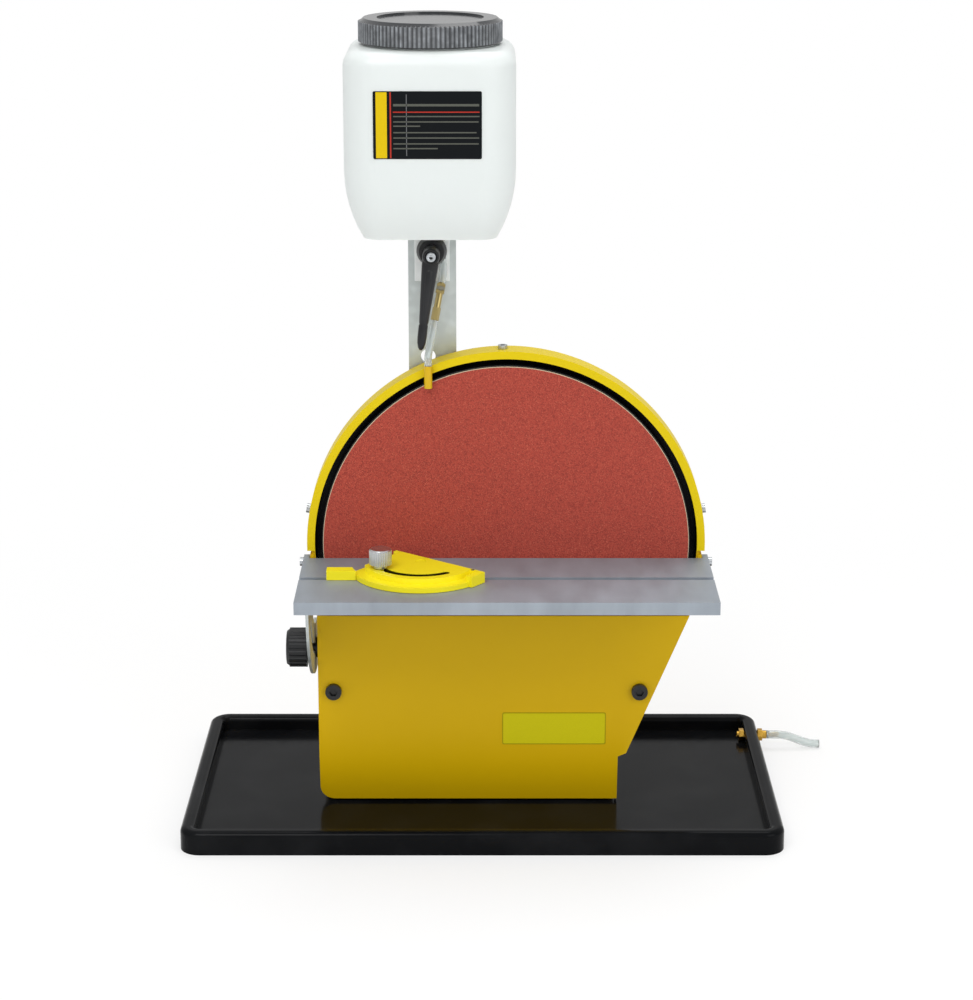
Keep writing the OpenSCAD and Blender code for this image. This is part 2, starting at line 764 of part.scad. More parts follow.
module front_cover() color("#e0b800") difference() {
    corner = [cover_left_x + cover_corner_r, cover_z + cover_corner_r];
    back = cover_y + flange_depth;
    right = slope_x(drum_r, cover_top) + 1;
    intersection() {
        along_y(cover_y - 1, back) {
            translate(corner) circle(cover_corner_r);
            difference() {
                lower_outline(0, cover_z, cover_top);
                translate([cover_left_x - 1, cover_z - 1]) square(cover_corner_r + 1);
            }
        }
        along_x(cover_left_x - 1, right) side_outline(0, back, cover_z, cover_top);
    }
    intersection() {
        along_y(cover_y - 1, back + 1) {
            translate(corner) circle(cover_corner_r - cover_t);
            difference() {
                lower_outline(cover_t, cover_z - 1, cover_top + 1);
                translate([cover_left_x - 1, cover_z - 2]) square(cover_corner_r + 2);
            }
        }
        along_x(cover_left_x - 1, right) side_outline(cover_t, back + 1, cover_z - 1, cover_top + 1);
    }
    for (x = cover_screw_x()) rod_y(x, cover_screw_z, 2.3, cover_y - 1, cover_y + 3);
    translate([cover_left_x - 1, clamp_y, clamp_z - bush_r - 0.4])
        cube([cover_corner_r, flange_depth, 2 * bush_r + 0.8]);
    rod_x(clamp_y, clamp_z, bush_r + 0.4, cover_left_x - 1, cover_left_x + cover_corner_r);
}

module cover_screws() color("#26262a")
    for (x = cover_screw_x()) translate([x, cover_y - seat_gap, cover_screw_z]) rotate([90, 0, 0])
        socket_screw(4, cover_screw_head, 3.4, 12);

// Puts a screw, pointing inwards, on the hood at angle a
module at_hood_screw(a) translate([disc_x, hood_screw_y, disc_z]) rotate([0, 90 - a, 0])
    translate([0, 0, drum_r]) children();

module guard_hood() color("#e6bf12") difference() {
    intersection() {
        union() {
            along_y(lip_y, lip_y + hood_depth) difference() {
                round_outline(hood_r);
                round_outline(drum_r + hood_gap);
            }
            along_y(lip_y, lip_y + lip_t) difference() {
                round_outline(hood_r);
                round_outline(drum_r - drum_wall);
            }
        }
        along_y(lip_y - 1, rear_face_y) translate([disc_x - hood_r - 1, disc_z - hood_drop])
            square([2 * hood_r + 2, hood_r + hood_drop + 1]);
    }
    for (a = hood_screw_angles) at_hood_screw(a) cylinder(r = hood_screw_d / 2 + 0.15, h = 12);
    rod_y(nozzle_x, nozzle_pin_z, nozzle_pin_r + 0.03, lip_y - 1, lip_y + lip_t + 0.2);
}

module hood_screws() color("#b9bcc0") for (a = hood_screw_angles) at_hood_screw(a)
    translate([0, 0, hood_r - drum_r + seat_gap]) socket_screw(hood_screw_d, 6.4, 2.4, hood_r - drum_r + drum_wall);

// ---------- disc and drive ----------

module grinding_disc() color("#b4b7ba") difference() {
    union() {
        rod_y(disc_x, disc_z, disc_d / 2, disc_front_y, disc_back_y);
        rod_y(disc_x, disc_z, hub_d / 2, disc_back_y - eps, disc_back_y + hub_len);
    }
    rod_y(disc_x, disc_z, spindle_d / 2 + 0.03, spindle_y, disc_back_y + hub_len + 1);
    rod_y(disc_x, disc_z, 3.2, disc_front_y - 1, spindle_y + 1);
    translate([disc_x, disc_front_y, disc_z]) rotate([-90, 0, 0]) cylinder(r1 = 6.3, r2 = 3.2, h = 3.1);
}

module abrasive_sheet() color("#a5482f")
    rod_y(disc_x, disc_z, disc_d / 2 - sheet_inset, face_y, disc_front_y);

module disc_screw() color("#8d9095") {
    translate([disc_x, disc_front_y + 0.1, disc_z]) rotate([-90, 0, 0]) cylinder(r1 = 6.1, r2 = 3, h = 3.1);
    rod_y(disc_x, disc_z, 3, disc_front_y + 3, spindle_y + 14);
}

module spindle() color("#9a9da1") difference() {
    union() {
        rod_y(disc_x, disc_z, spindle_d / 2, spindle_y, pulley_y + pulley_w);
        rod_y(disc_x, disc_z, spindle_d / 2 + 3, disc_back_y + hub_len + seat_gap, rear_face_y - seat_gap);
    }
    rod_y(disc_x, disc_z, 3.04, spindle_y - 1, spindle_y + 15);
}

// Screw axes, as rods from y0 to y1
module at_sleeve_screws(y0, y1, r) for (a = [45:90:315])
    rod_y(disc_x + sleeve_pcd_r * cos(a), disc_z + sleeve_pcd_r * sin(a), r, y0, y1);
module at_rear_screws(y0, y1, r) for (side = [-1, 1], z = rear_screw_z)
    rod_y(disc_x + side * (rear_half_w - 8), z, r, y0, y1);

module spindle_housing() color("#9fa2a4") difference() {
    union() {
        rod_y(disc_x, disc_z, sleeve_flange_d / 2, rear_face_y, rear_face_y + sleeve_flange_t);
        rod_y(disc_x, disc_z, sleeve_d / 2, rear_face_y, sleeve_end_y);
    }
    rod_y(disc_x, disc_z, bearing_d / 2 - 4, rear_face_y - 1, sleeve_end_y + 1);
    rod_y(disc_x, disc_z, bearing_d / 2 + 0.03, rear_face_y - 1, rear_face_y + bearing_w + seat_gap);
    rod_y(disc_x, disc_z, bearing_d / 2 + 0.03, sleeve_end_y - bearing_w - seat_gap, sleeve_end_y + 1);
    at_sleeve_screws(rear_face_y - 1, rear_face_y + sleeve_flange_t + 1, 2.04);
    for (a = [0, 120, 240]) rod_y(disc_x + sleeve_screw_r * sin(a), disc_z + sleeve_screw_r * cos(a),
        1.3, sleeve_end_y - 9, sleeve_end_y + 1);
}

// Ball bearing as one closed ring with a shield groove on each face
module bearing(y0) difference() {
    rod_y(disc_x, disc_z, bearing_d / 2, y0, y0 + bearing_w);
    rod_y(disc_x, disc_z, spindle_d / 2 + run_gap, y0 - 1, y0 + bearing_w + 1);
    for (y = [y0 - 1, y0 + bearing_w - 0.6]) difference() {
        rod_y(disc_x, disc_z, bearing_d / 2 - 3, y, y + 1.6);
        rod_y(disc_x, disc_z, spindle_d / 2 + 2.5, y - 1, y + 3);
    }
}

module front_bearing() color("#c4c7ca") bearing(rear_face_y + seat_gap / 2);
module rear_bearing() color("#c4c7ca") bearing(sleeve_end_y - bearing_w - seat_gap / 2);

// Flanged belt pulley
module pulley(z, pitch_d, bore_r, y0) difference() {
    union() {
        rod_y(disc_x, z, pitch_d / 2 - 0.15, y0, y0 + pulley_w);
        for (y = [y0, y0 + pulley_w - 1.2]) rod_y(disc_x, z, pitch_d / 2 + 1.2, y, y + 1.2);
    }
    rod_y(disc_x, z, bore_r, y0 - 1, y0 + pulley_w + 1);
}

module driven_pulley() color("#2f3134") difference() {
    pulley(disc_z, driven_d, spindle_d / 2 + 0.03, pulley_y);
    for (a = [0:60:300]) rod_y(disc_x + driven_d * 0.3 * cos(a), disc_z + driven_d * 0.3 * sin(a),
        driven_d * 0.085, pulley_y - 1, pulley_y + pulley_w + 1);
}
module motor_pulley() color("#a9acb0") pulley(motor_z, driver_d, motor_shaft_d / 2 + 0.03, pulley_y);

// Outline of the belt's run, grown outwards by g
module belt_outline(g) {
    big = driven_d / 2 + g;
    small = driver_d / 2 + g;
    a = -asin((big - small) / belt_centres);
    translate([disc_x, disc_z]) {
        circle(big);
        translate([0, -belt_centres]) circle(small);
        polygon([[big * cos(a), big * sin(a)], [small * cos(a), small * sin(a) - belt_centres],
            [-small * cos(a), small * sin(a) - belt_centres], [-big * cos(a), big * sin(a)]]);
    }
}

module drive_belt() color("#191919") {
    y0 = pulley_y + (pulley_w - belt_w) / 2;
    along_y(y0, y0 + belt_w) difference() {
        belt_outline(belt_t);
        belt_outline(0);
    }
}

module motor_case() color("#5d6165") difference() {
    rod_y(disc_x, motor_z, motor_d / 2, motor_y, sleeve_end_y - seat_gap);
    rod_y(disc_x, motor_z, motor_d / 2 - 2, motor_y + 5, sleeve_end_y - 5);
    rod_y(disc_x, motor_z, motor_shaft_d / 2 + run_gap, motor_y + 2, sleeve_end_y + 1);
    for (side = [-1, 1]) rod_y(disc_x + side * motor_d * 0.3, motor_z, 1.5, sleeve_end_y - 6, sleeve_end_y + 1);
}

module motor_shaft() color("#a0705a") {
    rod_y(disc_x, motor_z, motor_shaft_d / 2, motor_y + 2.5, pulley_y + pulley_w);
    rod_y(disc_x, motor_z, motor_d / 2 - 5, motor_y + 9, sleeve_end_y - 12);
    rod_y(disc_x, motor_z, motor_d / 5, sleeve_end_y - 12 - eps, sleeve_end_y - 6);
}

module motor_plate() color("#8f9498") difference() {
    along_y(sleeve_end_y, sleeve_end_y + motor_plate_t) {
        translate([disc_x, disc_z]) circle(sleeve_d / 2 + 3);
        translate([disc_x, motor_z]) circle(motor_d / 2 + 2);
        translate([disc_x - sleeve_d / 2, motor_z]) square([sleeve_d, belt_centres]);
    }
    rod_y(disc_x, disc_z, spindle_d / 2 + 4, sleeve_end_y - 1, sleeve_end_y + motor_plate_t + 1);
    rod_y(disc_x, motor_z, motor_shaft_d / 2 + 3, sleeve_end_y - 1, sleeve_end_y + motor_plate_t + 1);
    for (a = [0, 120, 240]) rod_y(disc_x + sleeve_screw_r * sin(a), disc_z + sleeve_screw_r * cos(a),
        1.6, sleeve_end_y - 1, sleeve_end_y + motor_plate_t + 1);
    for (side = [-1, 1]) rod_y(disc_x + side * motor_d * 0.3, motor_z, 1.6, sleeve_end_y - 1,
        sleeve_end_y + motor_plate_t + 1);
}

module drive_screws() color("#7f8387") {
    for (a = [45:90:315])
        translate([disc_x + sleeve_pcd_r * cos(a), back_wall_y - seat_gap, disc_z + sleeve_pcd_r * sin(a)])
        rotate([90, 0, 0]) socket_screw(4, 7, 1.6, back_t + sleeve_flange_t);
    for (a = [0, 120, 240])
        translate([disc_x + sleeve_screw_r * sin(a), sleeve_end_y + motor_plate_t + seat_gap / 2,
            disc_z + sleeve_screw_r * cos(a)])
        rotate([-90, 0, 0]) socket_screw(2.5, 4.4, 2, motor_plate_t + 7);
    for (side = [-1, 1])
        translate([disc_x + side * motor_d * 0.3, sleeve_end_y + motor_plate_t + seat_gap / 2, motor_z])
        rotate([-90, 0, 0]) socket_screw(2.9, 5, 2, motor_plate_t + 5);
}

module support_brackets() color("#cfa900") for (side = [-1, 1])
    along_x(disc_x + side * bracket_x - 1.25, disc_x + side * bracket_x + 1.25)
        polygon([[rear_face_y + seat_gap, housing_z], [bracket_end_y, housing_z],
            [bracket_end_y, housing_z + 16], [rear_face_y + 10, disc_z - 20], [rear_face_y + seat_gap, disc_z - 20]]);

// ---------- rear housing and controls ----------

// Outline of the rear housing in X and Z, set in by g
module rear_outline(g, z0) {
    r = rear_r - g;
    for (side = [-1, 1]) translate([disc_x + side * (rear_half_w - rear_r), rear_top - rear_r]) circle(r);
    translate([disc_x - rear_half_w + rear_r, z0]) square([2 * (rear_half_w - rear_r), rear_top - g - z0]);
    translate([disc_x - rear_half_w + g, z0]) square([2 * (rear_half_w - g), rear_top - rear_r - z0]);
}

module rear_housing() color("#dcb600") difference() {
    front = rear_face_y + seat_gap;
    union() {
        difference() {
            along_y(front, rear_end_y) rear_outline(0, housing_z + seat_gap);
            along_y(front - 1, rear_end_y - rear_t) rear_outline(rear_t, housing_z - 1);
        }
        // inner blocks that take the screws through the disc housing
        for (side = [-1, 1], z = rear_screw_z)
            translate([disc_x + side * (rear_half_w - 8) - 7.5, front, z - 6]) cube([15, 9, 12]);
    }
    at_rear_screws(front - 1, front + 8, 2.04);
    for (i = [0:vent_count - 1])
        along_y(rear_end_y - rear_t - 1, rear_end_y + 1) translate([0, rear_top - 46 - i * 11])
            slot_2d([disc_x - vent_len / 2, 0], [disc_x + vent_len / 2, 0], 4);
    rod_y(gland_x, gland_z, 6.2, rear_end_y - rear_t - 1, rear_end_y + 1);
    rod_x(dial_y, dial_z, 4.2, side_x - rear_t - 1, side_x + 1);
    translate([side_x - rear_t - 1, switch_y - 6.6, switch_z - 11.6]) cube([rear_t + 2, 13.2, 23.2]);
}

module rear_screws() color("#26262a") for (side = [-1, 1], z = rear_screw_z)
    translate([disc_x + side * (rear_half_w - 8), back_wall_y - seat_gap, z]) rotate([90, 0, 0])
        socket_screw(4, 7.5, 2, back_t + 7);

module extraction_port() color("#232426") difference() {
    union() {
        rod_y(port_x, port_z, port_d / 2, rear_face_y + seat_gap, rear_face_y + port_len);
        rod_y(port_x, port_z, port_d / 2 + 5, rear_face_y + seat_gap, rear_face_y + 3);
        for (y = [0.5, 0.8]) rod_y(port_x, port_z, port_d / 2 + 0.8, rear_face_y + port_len * y, rear_face_y + port_len * y + 1.5);
    }
    rod_y(port_x, port_z, port_d / 2 - port_wall, rear_face_y - 1, rear_face_y + port_len + 1);
}

module switch_frame() color("#161618") difference() {
    union() {
        translate([side_x + seat_gap, switch_y - 9, switch_z - 14]) cube([2, 18, 28]);
        translate([side_x - 13, switch_y - 6.5, switch_z - 11.5]) cube([13.5, 13, 23]);
    }
    translate([side_x - 9, switch_y - 5, switch_z - 10]) cube([20, 10, 20]);
    translate([side_x - 1, switch_y - 8, switch_z]) rotate([-90, 0, 0]) cylinder(r = 1.05, h = 16);
}

module power_rocker() color("#1f7a34") translate([side_x - 1, switch_y, switch_z]) {
    rotate([0, 8, 0]) translate([0, 4.6, 0]) rotate([90, 0, 0]) linear_extrude(9.2)
        polygon([[-3.5, -6], [-3.5, 6], [0, 8.8], [4.4, 8.8], [3.2, 0], [4.4, -8.8], [0, -8.8]]);
    translate([0, -6, 0]) rotate([-90, 0, 0]) cylinder(r = 1, h = 12);
}

module speed_dial() color("#202022") translate([side_x, dial_y, dial_z]) rotate([0, 90, 0]) {
    translate([0, 0, free_gap]) linear_extrude(11) fluted(dial_d / 2, 16, 3, 0.8);
    translate([0, 0, -5]) cylinder(r = 3, h = 7);
}

module control_board() color("#2e6b3e") {
    difference() {
        translate([board_x - 1.6, switch_y - 20, switch_z - 66]) cube([1.6, 60, 46]);
        for (y = [-16, 36], z = [-62, -24]) rod_x(switch_y + y, switch_z + z, 1.6, board_x - 2, board_x + 1);
    }
    for (y = [-16, 36], z = [-62, -24])
        rod_x(switch_y + y, switch_z + z, 1.6, board_x - 2.4, side_x - rear_t - seat_gap);
    for (i = [0:2]) rod_x(switch_y - 6 + i * 14, switch_z - 38, 5, board_x - 15, board_x - 1.5);
    translate([board_x - 10, switch_y - 12, switch_z - 62]) cube([9, 34, 8]);
}

module cord_gland() color("#17181a") difference() {
    union() {
        translate([gland_x, rear_end_y + seat_gap, gland_z]) rotate([-90, 0, 0]) cylinder(r = 10, h = 5, $fn = 6);
        rod_y(gland_x, gland_z, 8, rear_end_y + 5, rear_end_y + 9);
        rod_y(gland_x, gland_z, 6.1, rear_end_y - rear_t - 8, rear_end_y + 1);
    }
    rod_y(gland_x, gland_z, 3.6, rear_end_y - rear_t - 9, rear_end_y + 10);
}

// ---------- work table ----------

module work_table() color("#aab4ba") {
    half = table_w / 2;
    ear_y = pivot_y + ear_len;
    difference() {
        union() {
            translate([disc_x - half, table_front_y, table_z - plate_t]) cube([table_w, table_d, plate_t]);
            for (side = [-1, 1]) along_x(disc_x + side * (half - skirt_t / 2) - skirt_t / 2,
                disc_x + side * (half - skirt_t / 2) + skirt_t / 2) difference() {
                    translate([table_front_y, table_z - skirt_h]) square([ear_y - table_front_y, skirt_h]);
                    translate([ear_y - 3, table_z - 3]) difference() {
                        square(4);
                        circle(3);
                    }
                }
            translate([disc_x - half, table_front_y, table_z - skirt_h]) cube([table_w, skirt_front_t, skirt_h]);
        }
        // guide groove, open at both sides
        translate([disc_x - half - 1, groove_y - groove_w / 2, table_z - groove_t])
            cube([table_w + 2, groove_w, groove_t + 1]);
        // bevel under the edge next to the disc
        along_x(disc_x - lug_x, disc_x + lug_x) polygon([[table_back_y - bevel, table_z - plate_t],
            [table_back_y + 1, table_z - plate_t + bevel + 1], [table_back_y + 1, table_z - plate_t - 1],
            [table_back_y - bevel - 1, table_z - plate_t - 1]]);
        rod_x(pivot_y, pivot_z, pivot_d / 2 + run_gap, disc_x - half - 1, disc_x + half + 1);
        for (y = quadrant_screw_y) rod_z(quadrant_x + 11, y, 1.3, table_z - plate_t - 1, table_z - plate_t + 1.7);
    }
}

module pivot_screws() color("#8d9298") for (side = [-1, 1])
    translate([disc_x + side * (table_w / 2 + free_gap), pivot_y, pivot_z]) rotate([0, side * 90, 0])
        socket_screw(pivot_d, 6, 2.4, skirt_t + 2 * free_gap + lug_x - drum_r + 2);

module tilt_quadrant() color("#b7bcc0") difference() {
    union() {
        along_x(quadrant_x, quadrant_x + quadrant_t) translate([pivot_y, pivot_z]) difference() {
            sector(quadrant_r, 180 + quadrant_from, 180 + quadrant_to);
            circle(quadrant_r - quadrant_band);
        }
        translate([quadrant_x, flange_y0, table_z - plate_t - seat_gap - 2]) cube([18, flange_y1 - flange_y0, 2]);
        translate([quadrant_x, flange_y0, pivot_z - 14]) cube([quadrant_t, flange_y1 - flange_y0, table_z - plate_t - seat_gap - pivot_z + 14]);
    }
    translate([quadrant_x - 1, pivot_y, pivot_z]) rotate([90, 0, 90]) linear_extrude(quadrant_t + 2)
        arc_slot(slot_r, clamp_bolt_d + 2 * free_gap, 180 + clamp_angle - tilt_down - 2, 180 + clamp_angle + tilt_up + 2);
    for (y = quadrant_screw_y) rod_z(quadrant_x + 11, y, 1.7, pivot_z - 20, table_z);
}

module quadrant_screws() color("#8d9298") for (y = quadrant_screw_y)
    translate([quadrant_x + 11, y, table_z - plate_t - 2 * seat_gap - 2]) rotate([180, 0, 0])
        socket_screw(2.5, 5.5, 2, 3.7);

module tilt_bolt() color("#1d1e20") {
    rod_x(clamp_y, clamp_z, clamp_bolt_d / 2, knob_x - tilt_knob_len, cover_left_x + skin_gap + drum_wall + 1);
    rod_x(clamp_y, clamp_z, bush_r, quadrant_x + quadrant_t + free_gap / 2, cover_left_x + skin_gap - seat_gap);
    translate([cover_left_x + skin_gap + drum_wall + seat_gap, clamp_y, clamp_z]) rotate([0, 90, 0])
        cylinder(r = clamp_bolt_d * 0.9, h = 4, $fn = 6);
}

module tilt_knob() color("#1d1e20") difference() {
    translate([knob_x, clamp_y, clamp_z]) rotate([0, -90, 0]) {
        cylinder(r = tilt_knob_d / 2 - 4, h = knob_stem + eps);
        translate([0, 0, knob_stem]) linear_extrude(tilt_knob_len - 2)
            fluted(tilt_knob_d / 2, tilt_flutes, 2, 0.7);
        translate([0, 0, knob_stem + tilt_knob_len - 2]) cylinder(r1 = tilt_knob_d / 2 - 0.7, r2 = tilt_knob_d / 2 - 2.2, h = 2);
    }
    rod_x(clamp_y, clamp_z, clamp_bolt_d / 2 + run_gap, knob_x - tilt_knob_len - 0.5, knob_x + 1);
}

// ---------- mitre gauge ----------

module gauge_bar() color("#e3c400") {
    x0 = head_x - head_r - bar_out;
    tongue = groove_w / 2 - 0.2;
    difference() {
        translate([x0, groove_y - bar_w / 2, table_z + 0.2]) cube([bar_out + 5, bar_w, bar_h]);
        rod_z(head_x, head_y, head_r + free_gap, table_z, table_z + bar_h + 1);
    }
    translate([x0, groove_y - tongue, table_z - groove_t + 0.2]) cube([head_x + recess_r - 4 - x0, 2 * tongue, groove_t - 0.2]);
    translate([head_x - recess_r + 8, groove_y - tongue, table_z - 0.5]) cube([recess_r - 5, 2 * tongue, 0.5 + plate_h]);
    translate([x0, groove_y - tongue, table_z - 0.5]) cube([bar_out - 0.6, 2 * tongue, 1]);
    translate([0, 0, table_z + 0.2]) linear_extrude(plate_h - 0.2) {
        slot_2d([head_x, groove_y], [head_x, head_y], 9);
        slot_2d([stud_x, groove_y], [head_x, groove_y], 8);
    }
    rod_z(stud_x, groove_y, gauge_stud_d / 2, table_z + 0.5, table_z + head_h + 12);
}

module gauge_pivot() color("#8d9298") {
    rod_z(head_x, head_y, 2, table_z + plate_h, table_z + head_h - 0.4);
    rod_z(head_x, head_y, 3.4, table_z + head_h - 1.6, table_z + head_h - 0.4);
}

// Outline of the gauge head about its pivot, set in by g; the fence lies along +Y
module head_outline(g) intersection() {
    circle(head_r - g);
    translate([-fence_near + g / 2, -head_r]) square([2 * head_r, head_r + fence_offset]);
}

module gauge_head() color("#e3c400") difference() {
    translate([head_x, head_y, head_z]) rotate(-fence_angle) {
        linear_extrude(step_h) head_outline(0);
        linear_extrude(head_h - 0.3) {
            head_outline(step_w);
            translate([-fence_near, fence_offset - 3]) square([fence_near + head_r, 3]);
            translate([head_r - 3, fence_offset - 14]) square([5, 14]);
        }
    }
    translate([head_x, head_y, 0]) rotate(-fence_angle) {
        // hollow for the bar's plate, open below
        translate([0, 0, table_z - 1]) linear_extrude(recess_h + 1.2) intersection() {
            circle(recess_r);
            translate([2 - fence_near, -recess_r]) square([2 * recess_r, recess_r + fence_offset - 2.6]);
        }
        translate([0, 0, table_z]) linear_extrude(head_h + 1)
            arc_slot(arc_r, arc_w, arc_angle + fence_angle - 8, arc_angle + fence_angle + 96);
    }
    rod_z(head_x, head_y, 2 + run_gap, table_z, table_z + head_h + 1);
    rod_z(head_x, head_y, 3.6, table_z + head_h - 1.8, table_z + head_h + 1);
}

module gauge_knob() color("#c9ccd0") difference() {
    z0 = table_z + head_h + free_gap;
    translate([stud_x, groove_y, z0]) {
        cylinder(r = 4.6, h = 3);
        translate([0, 0, 2.6]) linear_extrude(9.6) fluted(gauge_knob_d / 2, 36, 0.9, 0.25);
        translate([0, 0, 12.2]) cylinder(r1 = gauge_knob_d / 2 - 0.3, r2 = gauge_knob_d / 2 - 1, h = 0.8);
    }
    rod_z(stud_x, groove_y, gauge_stud_d / 2 + run_gap, z0 - 1, table_z + head_h + 12.4);
}

// ---------- coolant post, bottle and feed ----------

module support_post() color("#a9aeb1") difference() {
    along_y(rear_face_y + seat_gap / 2, rear_face_y + post_t) translate([post_x - post_w / 2, post_foot])
        square([post_w, post_top - post_foot]);
    for (z = post_screw_z) rod_y(post_x, z, 2.04, rear_face_y - 1, rear_face_y + post_t + 1);
    rod_y(post_x, lever_z, lever_bolt_d / 2 + 0.03, rear_face_y - 1, rear_face_y + post_t + 1);
    rod_y(post_x - 3, spare_z, post_hole_d / 2, rear_face_y - 1, rear_face_y + post_t + 1);
}

module post_screws() color("#8d9298") for (z = post_screw_z)
    translate([post_x, back_wall_y - seat_gap, z]) rotate([90, 0, 0]) socket_screw(4, 7, 1.6, back_t + post_t + 0.5);

module bottle_bracket() color("#b7bcc0") difference() {
    union() {
        translate([post_x - strap_w / 2, strap_y, strap_foot]) cube([strap_w, strap_t - seat_gap / 2, bottle_z - strap_foot]);
        translate([post_x - strap_w / 2, shelf_front_y, shelf_z]) cube([strap_w, strap_y + strap_t - shelf_front_y - seat_gap / 2, strap_t]);
    }
    along_y(strap_y - 1, strap_y + strap_t + 1) slot_2d([post_x, lever_z - rise - 1], [post_x, lever_z + drop + 1],
        lever_bolt_d + 2 * free_gap);
    rod_z(tube_x, tube_y, 3.06, shelf_z - 1, bottle_z + 1);
}

module clamp_bolt() color("#8d9298") {
    rod_y(post_x, lever_z, lever_bolt_d / 2, lever_y - lever_hub_len + 3, rear_face_y + post_t + 1);
    translate([post_x, rear_face_y + post_t + seat_gap, lever_z]) rotate([-90, 0, 0]) cylinder(r = 4.6, h = 3.4, $fn = 6);
}

module clamp_boss() color("#202124") difference() {
    union() {
        rod_y(post_x, lever_z, 3.2, boss_y - eps, strap_y - free_gap / 2);
        translate([post_x, boss_y, lever_z]) rotate([90, 0, 0]) cylinder(r1 = boss_r, r2 = boss_r - 2, h = boss_t);
    }
    rod_y(post_x, lever_z, lever_bolt_d / 2 + 0.04, boss_y - boss_t - 1, strap_y + 1);
}

module clamp_lever() color("#1d1e20") difference() {
    union() {
        rod_y(post_x, lever_z, 5.6, lever_y - lever_hub_len, lever_y - free_gap);
        hull() {
            rod_y(post_x, lever_z - 2, 3.6, lever_y - lever_hub_len, lever_y - lever_hub_len + 7, $fn = 32);
            rod_y(post_x - lever_len * 0.115, lever_z - lever_len, 4.4, lever_y - lever_hub_len, lever_y - lever_hub_len + 5, $fn = 32);
        }
    }
    rod_y(post_x, lever_z, lever_bolt_d / 2 + run_gap, lever_y - lever_hub_len - 1, lever_y + 1);
}

// Points up the bottle's side, set in by g: distance out from the corners' axes, and height
function bottle_side(g) = let (
    heel_arc = (heel_h * heel_h + heel_in * heel_in) / (2 * heel_in),
    first = asin((heel_h - g) / (heel_arc - g)),
    from_heel = bottle_corner_r - heel_arc,
    from_top = bottle_corner_r - shoulder_r)
    concat(
        [for (i = [0:6]) let (a = first * (1 - i / 6))
            [from_heel + (heel_arc - g) * cos(a), heel_h - (heel_arc - g) * sin(a)]],
        [for (i = [0:5]) let (a = 18 * i)
            [from_top + (shoulder_r - g) * cos(a), bottle_h - shoulder_r + (shoulder_r - g) * sin(a)]]);

// The bottle's body, set in by g
module bottle_body(g) translate([post_x, bottle_y, bottle_z]) {
    c = bottle_w / 2 - bottle_corner_r;
    side = bottle_side(g);
    last = len(side) - 1;
    for (turn = [0:3]) rotate(90 * turn) translate([c, c, 0]) rotate_extrude(angle = 90)
        polygon(concat([[0, side[0][1]]], side, [[0, side[last][1]]]));
    full = concat([for (p = side) [c + p[0], p[1]]], [for (i = [last:-1:0]) [-c - side[i][0], side[i][1]]]);
    along_y(-c, c) polygon(full);
    along_x(-c, c) polygon(full);
}

module coolant_bottle() color("#e6eeec") difference() {
    union() {
        bottle_body(0);
        rod_z(post_x, bottle_y, neck_d / 2, bottle_z + bottle_h - 3, lid_z + neck_h);
        rod_z(post_x, bottle_y, neck_d / 2 + 1.4, lid_z + neck_h - 7, lid_z + neck_h - 5);
    }
    bottle_body(bottle_wall);
    rod_z(post_x, bottle_y, neck_d / 2 - bottle_wall, bottle_z + bottle_h - 6, lid_z + neck_h + 1);
    rod_z(tube_x, tube_y, 3.06, bottle_z - 1, bottle_z + bottle_wall + 1);
}

module bottle_lid() color("#3a3c40") {
    top = lid_z + lid_h;
    difference() {
        union() {
            translate([post_x, bottle_y, lid_z + 1]) linear_extrude(lid_h - 3.2)
                polygon([for (i = [0:2 * lid_ribs - 1]) let (a = 180 * i / lid_ribs, r = lid_d / 2 - (i % 2) * 0.9)
                    r * [cos(a), sin(a)]]);
            rod_z(post_x, bottle_y, lid_d / 2 - 1.2, lid_z, lid_z + 2);
            translate([post_x, bottle_y, top - 2.4]) cylinder(r1 = lid_d / 2 - 0.6, r2 = lid_d / 2 - 3.4, h = 2.4);
        }
        rod_z(post_x, bottle_y, neck_d / 2 + 1.4 + free_gap, lid_z - 1, top - 2 * lid_wall);
        rod_z(post_x, bottle_y, lid_d * 0.37, top - 1.2, top + 1);
    }
}

module lid_seal() color("#d8d6cc") difference() {
    rod_z(post_x, bottle_y, neck_d / 2 + 1, lid_z + neck_h + 0.35, lid_z + lid_h - 2 * lid_wall);
    rod_z(post_x, bottle_y, neck_d / 2 - 6, lid_z, lid_z + lid_h);
}

module bottle_outlet() color("#b8923f") difference() {
    union() {
        rod_z(tube_x, tube_y, 3, shelf_z - 6, bottle_z + bottle_wall + 1);
        rod_z(tube_x, tube_y, 6, bottle_z + bottle_wall + seat_gap / 2, bottle_z + bottle_wall + 2);
        rod_z(tube_x, tube_y, barb_d / 2, shelf_z - 6 - 5, shelf_z - 5);
    }
    rod_z(tube_x, tube_y, 0.9, shelf_z - 20, bottle_z + 10);
}

module outlet_nut() color("#b8923f") difference() {
    rod_z(tube_x, tube_y, 3.85, shelf_z - seat_gap - 3.4, shelf_z - seat_gap);
    rod_z(tube_x, tube_y, 3.05, shelf_z - 10, shelf_z + 1);
}

module inlet_tube() color("#e4ecec") tube(
    bend([tube_x, tube_y, shelf_z - 6.2], [0, 0, -1], valve_c - 4.1 * valve_dir, -valve_dir, 5, 4, 8),
    [1, 0, 0], tube_d, tube_bore, 16);

// Places the valve's pieces on its own axis, with the flow running down
module at_valve() translate(valve_c) rotate([-valve_pitch, valve_lean, 0]) children();

